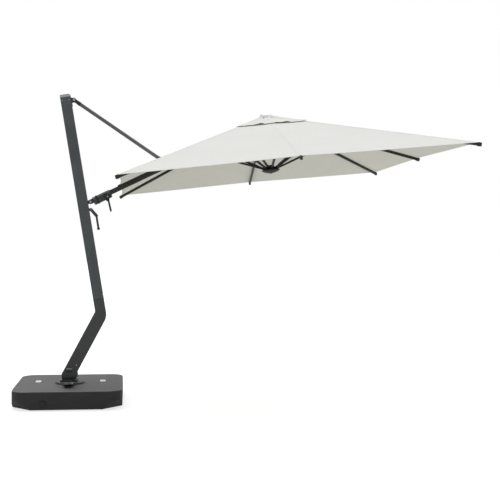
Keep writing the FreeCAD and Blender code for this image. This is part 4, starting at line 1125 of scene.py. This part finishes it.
# ---------------------------------------------------------------- fittings
def pan_head(axes: Axes, radius: float, tall: float) -> Surface:
    """Returns a screw head whose socket is sunk, as one turned profile."""
    radii = np.array([0, 0.405, 0.45, 0.62, 0.88, 1, 1, 0]) * radius
    heights = np.array([0.45, 0.45, 0.98, 1, 0.8, 0.35, 0, 0]) * tall
    heights[-2:] = -0.0005
    return turned(axes, radii, heights, 24)


@dataclass
class Section:
    """A part of the object that builds its own pieces."""

    shop: "Workshop"

    def build(self) -> None:
        """Builds the pieces."""
        raise NotImplementedError


@dataclass
class Ribs(Section):
    """The moulded end caps of the ribs."""

    cap_long: float = 0.040
    cap_half_wide: float = 0.011
    cap_half_deep: float = 0.0175
    cap_past: float = 0.005
    twin_half_wide: float = 0.0085
    twin_in: float = 0.006

    def build(self) -> None:
        """Builds a cap for each bar."""
        for azimuth in AZIMUTHS:
            axes = self.shop.reaching(rib_body(azimuth), fold_joint(azimuth))
            _, high = axes.extent(self.shop.nodes[rib_body(azimuth)])
            twin = azimuth == 180
            half = (self.cap_long / 2, self.twin_half_wide if twin else self.cap_half_wide,
                    self.cap_half_deep)
            blocks = [soft_block(axes.moved(high[0] - half[0] + self.cap_past,
                                            spot * (high[1] - self.twin_in)), half, 0.42)
                      for spot in ((-1, 1) if twin else (0,))]
            self.shop.piece(f"rib_end_{azimuth:03d}", joined(blocks), "dark_plastic",
                            rib_body(azimuth))


@dataclass
class Stays(Section):
    """The moulded sleeves on the stretchers, between their forks and the runner."""

    start: float = 0.32
    end: float = 0.90
    half_wide: float = 0.0104
    half_deep: float = 0.0098

    def build(self) -> None:
        """Builds a sleeve on each stretcher."""
        for azimuth in AZIMUTHS:
            name = f"stay_{azimuth:03d}"
            axes = self.shop.reaching(name, f"{name}_swing")
            _, high = axes.extent(self.shop.nodes[name])
            long = high[0]
            middle = axes.moved(x=long * (self.start + self.end) / 2)
            sleeve = soft_block(middle, (long * (self.end - self.start) / 2,
                                         self.half_wide, self.half_deep), 0.3)
            self.shop.piece(f"stay_sleeve_{azimuth:03d}", sleeve, "stay_coat", name)


@dataclass
class Runner(Section):
    """The shallow moulded dome that closes the runner from below."""

    rim: float = 0.088
    deep: float = 0.0268
    sweep: float = 1.05
    lip: float = 0.0037

    def build(self) -> None:
        """Builds the dome as one turned profile: part of a circle, and a rolled rim."""
        axes = canopy_axes(self.shop)
        low, _ = axes.extent(self.shop.nodes["runner"])
        angle = np.linspace(0, self.sweep, 12)
        bowl = self.rim * np.sin(angle) / math.sin(self.sweep)
        climb = self.deep * (1 - np.cos(angle)) / (1 - math.cos(self.sweep))
        radii = [0, 0.010, 0.012, *(bowl[3:]), self.rim + 0.0012, self.rim + 0.0012,
                 self.rim - 0.003, 0.050, 0]
        levels = [-0.007, -0.007, -0.0045, *(climb[3:] - 0.003), self.deep + 0.0003,
                  self.deep + 0.0025, *[self.deep + self.lip] * 3]
        dome = turned(axes.moved(z=low[2]), radii, levels, 64)
        self.shop.piece("runner_dome", dome, "stay_coat", "runner",
                        slot="dark_plastic")


@dataclass
class MastTrim(Section):
    """The screws at the mast's head."""

    screw_in: float = 0.017
    screw_down: float = 0.032
    radius: float = 0.0060
    tall: float = 0.0034

    def build(self) -> None:
        """Builds two screws on each face."""
        way = self.shop.axis("carriage_slide")
        lean = math.degrees(math.atan2(-way[0], way[2]))
        mast = Axes.tipped(self.shop.pivot("boom_tilt"), -lean)
        low, high = mast.extent(self.shop.nodes["mast_column"])
        heads = []
        for sign in (-1.0, 1.0):
            for x in (low[0] + self.screw_in, high[0] - self.screw_in):
                spot = mast.moved(x, sign * high[1], high[2] - self.screw_down)
                heads.append(pan_head(spot.facing_side(sign), self.radius, self.tall))
        self.shop.piece("mast_screws", joined(heads), "bright_steel", "mast")


def collar(axes: Axes, half_y: float, half_z: float, wall: float, wide: float,
           corner: float) -> Surface:
    """Returns a band round a box section that runs along x.

    Its outline, a rectangle with rounded edges, is carried round a rounded rectangle.
    """
    spots, outs = rounded_loop(half_y, half_z, corner, 8, 4)
    path = axes.place(np.column_stack([np.zeros(len(spots)), spots]))
    outward = outs[:, :1] * axes.y + outs[:, 1:] * axes.z
    normals = np.stack([outward, np.tile(axes.x, (len(outs), 1))], axis=1)
    turn = np.linspace(0, TAU, 24, endpoint=False)
    profile = np.stack([wall * squared(np.cos(turn), 0.4),
                        wide / 2 * squared(np.sin(turn), 0.4)], axis=-1)
    return swept(path, profile, normals)


@dataclass
class PinHeads(Section):
    """Domed heads on both ends of the hinge pins that show."""

    tall: float = 0.0036

    def build(self) -> None:
        """Builds each pin's two heads on the body that holds the pin."""
        rows = (("knuckle", self.shop.pivot("boom_tilt"), 0.025, 0.0105, "carriage"),
                ("handle", self.shop.pivot("handle_squeeze"), 0.014, 0.0065, "carriage"),
                ("mast_top", self.shop.centre("top_pin"), 0.026, 0.0125, "mast"),
                ("strut_foot", self.shop.centre("strut_pin"), 0.020, 0.0085, "boom"))
        for name, place, away, radius, body in rows:
            heads = [pan_head(
                Axes.upright(place + sign * away * SIDE).facing_side(sign), radius,
                self.tall) for sign in (-1.0, 1.0)]
            self.shop.piece(f"{name}_pin_heads", joined(heads), "bright_steel", body)


@dataclass
class WinchTrim(Section):
    """The winch's pale top edges, a painted highlight, its clamp, screws and hub plate, and
    the crank's fittings.
    """

    edge_deep: float = 0.0080
    edge_wall: float = 0.0026
    edge_in: float = 0.006
    clamp_in: float = 0.042
    clamp_wide: float = 0.018
    clamp_wall: float = 0.0034
    clamp_corner: float = 0.008
    screw_in: float = 0.013
    screw: tuple[float, float] = (0.0045, 0.0028)
    bolt: tuple[float, float] = (0.0075, 0.0042)
    plate_inner: float = 0.0185
    plate_outer: float = 0.0345
    plate_point: float = 0.0110

    def build(self) -> None:
        """Builds the housing's trims on the boom, then the crank's bolt and knob."""
        shop = self.shop
        axes = shop.along("winch_housing")
        low, high = axes.extent(shop.nodes["winch_housing"])
        middle, half = (low + high) / 2, (high - low) / 2
        # Pale strips along the housing's top edges: a painted highlight.
        edges = [soft_block(axes.moved(middle[0], sign * (half[1] - 0.001),
                                       high[2] - self.edge_deep),
                            (half[0] - self.edge_in, self.edge_wall, self.edge_deep), 0.4)
                 for sign in (-1, 1)]
        shop.piece("winch_edge_highlights", joined(edges), "pale_edge", "boom")
        clamp = collar(axes.moved(low[0] + self.clamp_in, 0, middle[2]),
                       half[1], half[2], self.clamp_wall, self.clamp_wide,
                       self.clamp_corner)
        shop.piece("winch_clamp", clamp, "dark_plastic", "boom")
        screws = [pan_head(axes.moved(x, sign * half[1], z).facing_side(sign), *self.screw)
                  for sign in (-1.0, 1.0)
                  for x in (low[0] + self.screw_in, high[0] - self.screw_in)
                  for z in (low[2] + self.screw_in, high[2] - self.screw_in)]
        shop.piece("winch_screws", joined(screws), "bright_steel", "boom")
        hub = Axes.upright(shop.pivot("crank_turn"))
        plate = hooped(hub.moved(y=-half[1]).facing_side(-1.0),
                       [(self.plate_inner, -0.001), (self.plate_inner, 0.004),
                        (self.plate_inner + 0.002, 0.005), (self.plate_outer - 0.002, 0.005),
                        (self.plate_outer, 0.0035), (self.plate_outer, -0.001)], 72,
                       lambda turn: self.plate_point * np.cos(3 * (turn + math.pi / 2)))
        shop.piece("crank_hub_plate", plate, "dark_plastic", "boom")
        arm_low, _ = shop.box("winch_drum")
        bolt = pan_head(hub.moved(y=arm_low[1]).facing_side(-1.0), *self.bolt)
        shop.piece("crank_bolt", bolt, "bright_steel", "crank")
        knob_low, knob_high = shop.box("crank_knob")
        _, long, wide = (knob_high - knob_low) * [1, 1, 0.5]
        spot = shop.centre("crank_knob") * [1, 0, 1] + [0, knob_high[1], 0]
        radii = [0, 0.62, 0.74, 0.80, 0.86, 0.96, 1.0, 0.98, 0.90, 0.72, 0.45, 0]
        steps = [0, 0, 0.03, 0.12, 0.30, 0.50, 0.66, 0.80, 0.90, 0.97, 0.995, 1]
        knob = turned(Axes.upright(spot).facing_side(-1.0),
                      [wide * share for share in radii], [long * step for step in steps], 40)
        shop.piece("crank_knob_grip", knob, "dark_plastic", "crank_knob",
                   replaces=["crank_knob"])


@dataclass
class StrutTrim(Section):
    """The ferrules that close the strut's two ends."""

    long: float = 0.030
    wall: float = 0.0016

    def build(self) -> None:
        """Builds a turned sleeve at each end of the tube."""
        shop = self.shop
        start, end = shop.centre("top_pin"), shop.centre("strut_pin")
        x = (end - start) / np.linalg.norm(end - start)
        line = Axes((start + end) / 2, np.cross(SIDE, x), SIDE, x)
        low, high = line.extent(shop.nodes["strut_tube"])
        radius = high[1]
        sleeves = []
        for place in (low[2], high[2] - self.long):
            inner, outer, soft = radius - 0.0005, radius + self.wall, 0.0012
            sleeves.append(hooped(line.moved(z=place), [
                (inner, 0), (inner, self.long), (outer - soft, self.long),
                (outer, self.long - soft), (outer, soft), (outer - soft, 0)]))
        shop.piece("strut_ferrules", joined(sleeves), "dark_plastic", "strut")


@dataclass
class FootTrim(Section):
    """The leg's clamp, its bolts, pale strips that paint a highlight on the socket's top edge,
    and the turntable's seam.
    """

    bolt_in: float = 0.021
    bolt_up: float = 0.024
    bolt: tuple[float, float] = (0.0068, 0.004)
    highlight_strip_at: tuple[float, float, float] = (-0.0067, 0.0008, -0.0115)
    highlight_strip_half: tuple[float, float, float] = (0.030, 0.0016, 0.0032)
    block_at: tuple[float, float, float] = (-0.0063, 0.002, -0.056)
    block_half: tuple[float, float, float] = (0.0285, 0.0085, 0.029)
    collar_at: tuple[float, float, float] = (-0.0015, 0.0, -0.070)
    collar_half: tuple[float, float] = (0.041, 0.071)
    collar_wall: float = 0.0036
    collar_wide: float = 0.046
    collar_corner: float = 0.012
    seam: float = 0.0042

    def build(self) -> None:
        """Builds the trims from the foot socket's box, on both faces."""
        shop = self.shop
        low, high = shop.box("foot_socket")
        leg_low, _ = shop.box("mast_leg")
        face = np.array([0.0, -leg_low[1], high[2]])
        bolts, strips, blocks = [], [], []
        for sign in (-1.0, 1.0):
            flip = np.array([1.0, sign, 1.0])
            at = (face + (high[0] - self.bolt_in, 0.0, self.bolt_up)) * flip
            bolts.append(pan_head(Axes.upright(at).facing_side(sign), *self.bolt))
            # Pale strips over the clamp: a painted highlight on the socket's top edge.
            strips.append(soft_block(Axes.upright((face + self.highlight_strip_at) * flip),
                                     self.highlight_strip_half, 0.4, 12, 24))
            blocks.append(soft_block(Axes.upright((face + self.block_at) * flip),
                                     self.block_half, 0.34))
        shop.piece("leg_bolts", joined(bolts), "bright_steel", "mast")
        shop.piece("leg_highlight_strips", joined(strips), "cap_plastic", "mast")
        shop.piece("leg_clamp_blocks", joined(blocks), "dark_plastic", "mast")
        post = Axes(UP * high[2] + self.collar_at, UP, SIDE, np.cross(UP, SIDE))
        band = collar(post, *self.collar_half, self.collar_wall, self.collar_wide,
                      self.collar_corner)
        shop.piece("foot_collar", band, "leg_shade_coat", "mast")
        rim = shop.box("turntable")[1][0]
        _, tank_high = shop.box("base_tank")
        seam = hooped(Axes.upright((0.0, 0.0, tank_high[2])), [
            (rim + 0.0004, -0.001), (rim + 0.0004, 0.0055), (rim + 0.002, 0.0068),
            (rim + self.seam - 0.001, 0.0060), (rim + self.seam, 0.004),
            (rim + self.seam, -0.001)], 96)
        shop.piece("turntable_seam", seam, "dark_plastic", "base")


@dataclass
class PedalTrim(Section):
    """The pedal's dark tread, ribbed across, and its pale end."""

    ribs: int = 7
    rib_tall: float = 0.0012
    sunk: float = 0.006
    lean: float = -4.0
    half: tuple[float, float, float] = (0.038, 0.030, 0.0062)
    tip_at: tuple[float, float, float] = (0.045, 0.004, 0.002)
    tip_half: tuple[float, float, float] = (0.010, 0.024, 0.0055)

    def build(self) -> None:
        """Builds the tread on the pedal's front end, with raised ribs as sine waves."""
        shop = self.shop
        low, high = shop.box("pedal")
        pad = Axes.tipped((-0.006, low[1] - 0.004, high[2] - self.sunk), self.lean)
        tread = soft_block(pad, self.half, 0.3, 24, 64)
        across, _, rise = pad.read(tread.points).T
        lift = self.rib_tall * np.sin(across * self.ribs * math.pi / self.half[0])
        lift *= rise > 0.004
        tread.points[:] += lift[:, None] * pad.z
        shop.piece("pedal_tread", tread, "dark_plastic", "pedal")
        tip = soft_block(pad.moved(*self.tip_at), self.tip_half, 0.35)
        shop.piece("pedal_tip", tip, "pale_edge", "pedal")


@dataclass
class TankTrim(Section):
    """Moulded trims on the tank: the rim's pale bead, a painted highlight along the top edge,
    the plug's seat and the lids' frames.
    """

    corner: float = 0.125
    inset: float = 0.0045
    bead: float = 0.0040
    sunk: float = 0.0012
    frame: tuple[float, float] = (0.0045, 0.0022)
    frame_margin: float = 0.008
    frame_corner: float = 0.012

    def build(self) -> None:
        """Builds the bead, the seat and each lid's frame."""
        low, high = self.shop.box("base_tank")
        half = (high[0] - low[0]) / 2 - self.inset
        # The pale bead along the top edge is a painted highlight.
        rim = self.laid_bead(np.zeros(2), rounded_loop(half, half, self.corner),
                             high[2] - self.sunk, (self.bead * 0.6, self.bead))
        self.shop.piece("tank_rim_highlight", rim, "rim_highlight_plastic", "base")
        seat = hooped(Axes.upright(self.shop.pivot("drain_plug_turn")).facing_side(-1.0),
                      [(0.0262, -0.001), (0.0262, 0.0016), (0.0285, 0.003),
                       (0.0322, 0.0018), (0.0330, -0.001)])
        self.shop.piece("plug_seat", seat, "dark_plastic", "base")
        for side in ("left", "right"):
            lid_low, lid_high = self.shop.box(f"filler_lid_{side}")
            centre, size = (lid_low + lid_high) / 2, (lid_high - lid_low) / 2
            loop = rounded_loop(*(size[:2] + self.frame_margin), self.frame_corner, 8, 6)
            frame = self.laid_bead(centre[:2], loop, high[2], self.frame)
            self.shop.piece(f"lid_frame_{side}", frame, "dark_plastic", "base")

    def laid_bead(self, centre: Array, loop: tuple[Array, Array], level: float,
                  size: tuple[float, float]) -> Surface:
        """Returns an oval bead that lies flat along a loop.

        Args:
            centre: the loop's middle on the plan.
            loop: its points and outward directions.
            level: its height.
            size: the bead's half width and half height.
        """
        spots, outs = loop
        angle = np.linspace(0, TAU, 10, endpoint=False)
        profile = np.stack([np.cos(angle), np.sin(angle)], axis=-1) * size
        path = np.column_stack([spots + centre, np.full(len(spots), level)])
        normals = np.stack([np.column_stack([outs, np.zeros(len(outs))]),
                            np.tile(UP, (len(outs), 1))], axis=1)
        return swept(path, profile, normals)


# ---------------------------------------------------------------- dressing the CAD
def dress_nodes(shop: Workshop) -> None:
    """Gives each CAD node the finish of its slot in the record."""
    # The boom tube and the leg take coats darker than the mast's, as painted shade.
    special = {"strut_tube": "strut_coat", "mast_leg": "leg_shade_coat",
               "boom_tube": "boom_shade_coat", "turntable": "disc_plastic",
               "pedal": "disc_plastic", "anchor_plate": "disc_plastic",
               "crank_arm": "stay_coat", "runner": "stay_coat",
               **{f"stay_{azimuth:03d}": "stay_coat" for azimuth in AZIMUTHS}}
    for part in shop.frame["record"]["subparts"]:
        node = shop.nodes[part["node"]]
        material = shop.rack.take(special.get(part["node"], part["material_slot"]))
        for place in range(max(1, len(node.material_slots))):
            if not node.material_slots:
                node.data.materials.append(material)
            else:
                node.material_slots[place].material = material


# ---------------------------------------------------------------- stage
@dataclass
class Studio:
    """A pale floor, an even white surround, a soft light and the camera."""

    floor_half: float = 60.0
    surround: float = 0.22
    overhead: float = 0.50
    behind: float = 0.28
    camera_at: tuple[float, float, float] = (0.5689, -8.2964, 1.5099)
    camera_turn: float = -0.0821
    lens: float = 61.65
    shift: tuple[float, float] = (0.10, -0.0129)

    def build(self) -> None:
        """Builds everything that isn't the object."""
        self.build_camera()
        self.build_floor()
        self.build_surround()
        self.build_light("overhead", (2.0, 1.5, 9.0), (0.8, 0.0, 0.0), 60.0, 1.0)

    def build_camera(self) -> None:
        """Places the camera."""
        data = bpy.data.cameras.new("camera")
        data.lens, data.sensor_width = self.lens, 36.0
        data.shift_x, data.shift_y = self.shift
        data.clip_end = 500.0
        camera = added("camera", data)
        camera.location = self.camera_at
        camera.rotation_euler = (math.pi / 2, 0.0, self.camera_turn)
        bpy.context.scene.camera = camera
        bpy.context.scene.view_settings.view_transform = "Standard"

    def build_floor(self) -> None:
        """Lays the pale floor, a hair under the feet."""
        half = self.floor_half
        mesh = bpy.data.meshes.new("floor")
        mesh.from_pydata([(-half, -half, -0.0005), (half, -half, -0.0005),
                          (half, half, -0.0005), (-half, half, -0.0005)], [], [(0, 1, 2, 3)])
        floor = added("floor", mesh)
        graph = Paint("floor_paint")
        clouds = graph.noise(0.8, 3.0)
        seen = Value(graph, graph.add("ShaderNodeLightPath").outputs["Is Camera Ray"])
        graph.set_inputs({
            "Base Color": graph.blend(clouds, tone(190, 190, 190), tone(186, 186, 186)),
            "Roughness": 0.9, "Specular IOR Level": 0.0,
            "Emission Color": graph.blend(seen, (0.27, 0.27, 0.27), (1.0, 1.0, 1.0)),
            "Emission Strength": 0.72})
        mesh.materials.append(graph.material)

    def build_surround(self) -> None:
        """Shows the world white, and lights from it: most from above and behind.

        The light from a direction is a base, plus a share that rises with the
        direction's height and another that rises towards the back.
        """
        world = bpy.data.worlds.new("surround")
        bpy.context.scene.world = world
        world.use_nodes = True
        graph = Graph(world.node_tree)
        seen = graph.add("ShaderNodeLightPath").outputs["Is Camera Ray"]
        _, back, rise = graph.apart(graph.add("ShaderNodeTexCoord").outputs["Generated"])
        strength: Operand = self.surround
        for value, low, most in ((rise, -0.1, self.overhead), (back, -0.5, self.behind)):
            share = graph.add("ShaderNodeMapRange", {}, {
                "Value": value, "From Min": low, "From Max": 0.9, "To Max": most})
            strength = Value(graph, share.outputs[0]) + strength
        dim, full = (graph.add("ShaderNodeBackground", {}, {0: (1.0, 1.0, 1.0), 1: level})
                     for level in (strength, 1.0))
        mixed = graph.add("ShaderNodeMixShader", {}, {
            0: seen, 1: dim.outputs[0], 2: full.outputs[0]})
        graph.add("ShaderNodeOutputWorld", {}, {0: mixed.outputs[0]})

    def build_light(self, name: str, spot: Sequence[float], aim: Sequence[float],
                    angle: float, strength: float) -> None:
        """Hangs one broad distant light that looks from a spot towards a point."""
        data = bpy.data.lights.new(name, "SUN")
        data.energy, data.angle = strength, math.radians(angle)
        light = added(name, data)
        way = np.array(aim, float) - np.array(spot, float)
        flat = math.hypot(way[0], way[1])
        light.location = spot
        light.rotation_euler = (math.atan2(flat, -way[2]), 0.0,
                                math.atan2(way[1], way[0]) - math.pi / 2)


def main() -> None:
    """Loads the frame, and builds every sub-assembly."""
    logging.basicConfig(level=logging.INFO, format="%(name)s: %(message)s")
    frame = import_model()
    shop = Workshop(frame)
    Studio().build()
    roof = Canopy(shop)
    roof.build()
    VentTop(roof).build()
    for section in (Ribs, Stays, Runner, MastTrim, PinHeads, WinchTrim, StrutTrim, FootTrim,
                    PedalTrim, TankTrim):
        section(shop).build()
    dress_nodes(shop)


if __name__ == "__main__":
    main()
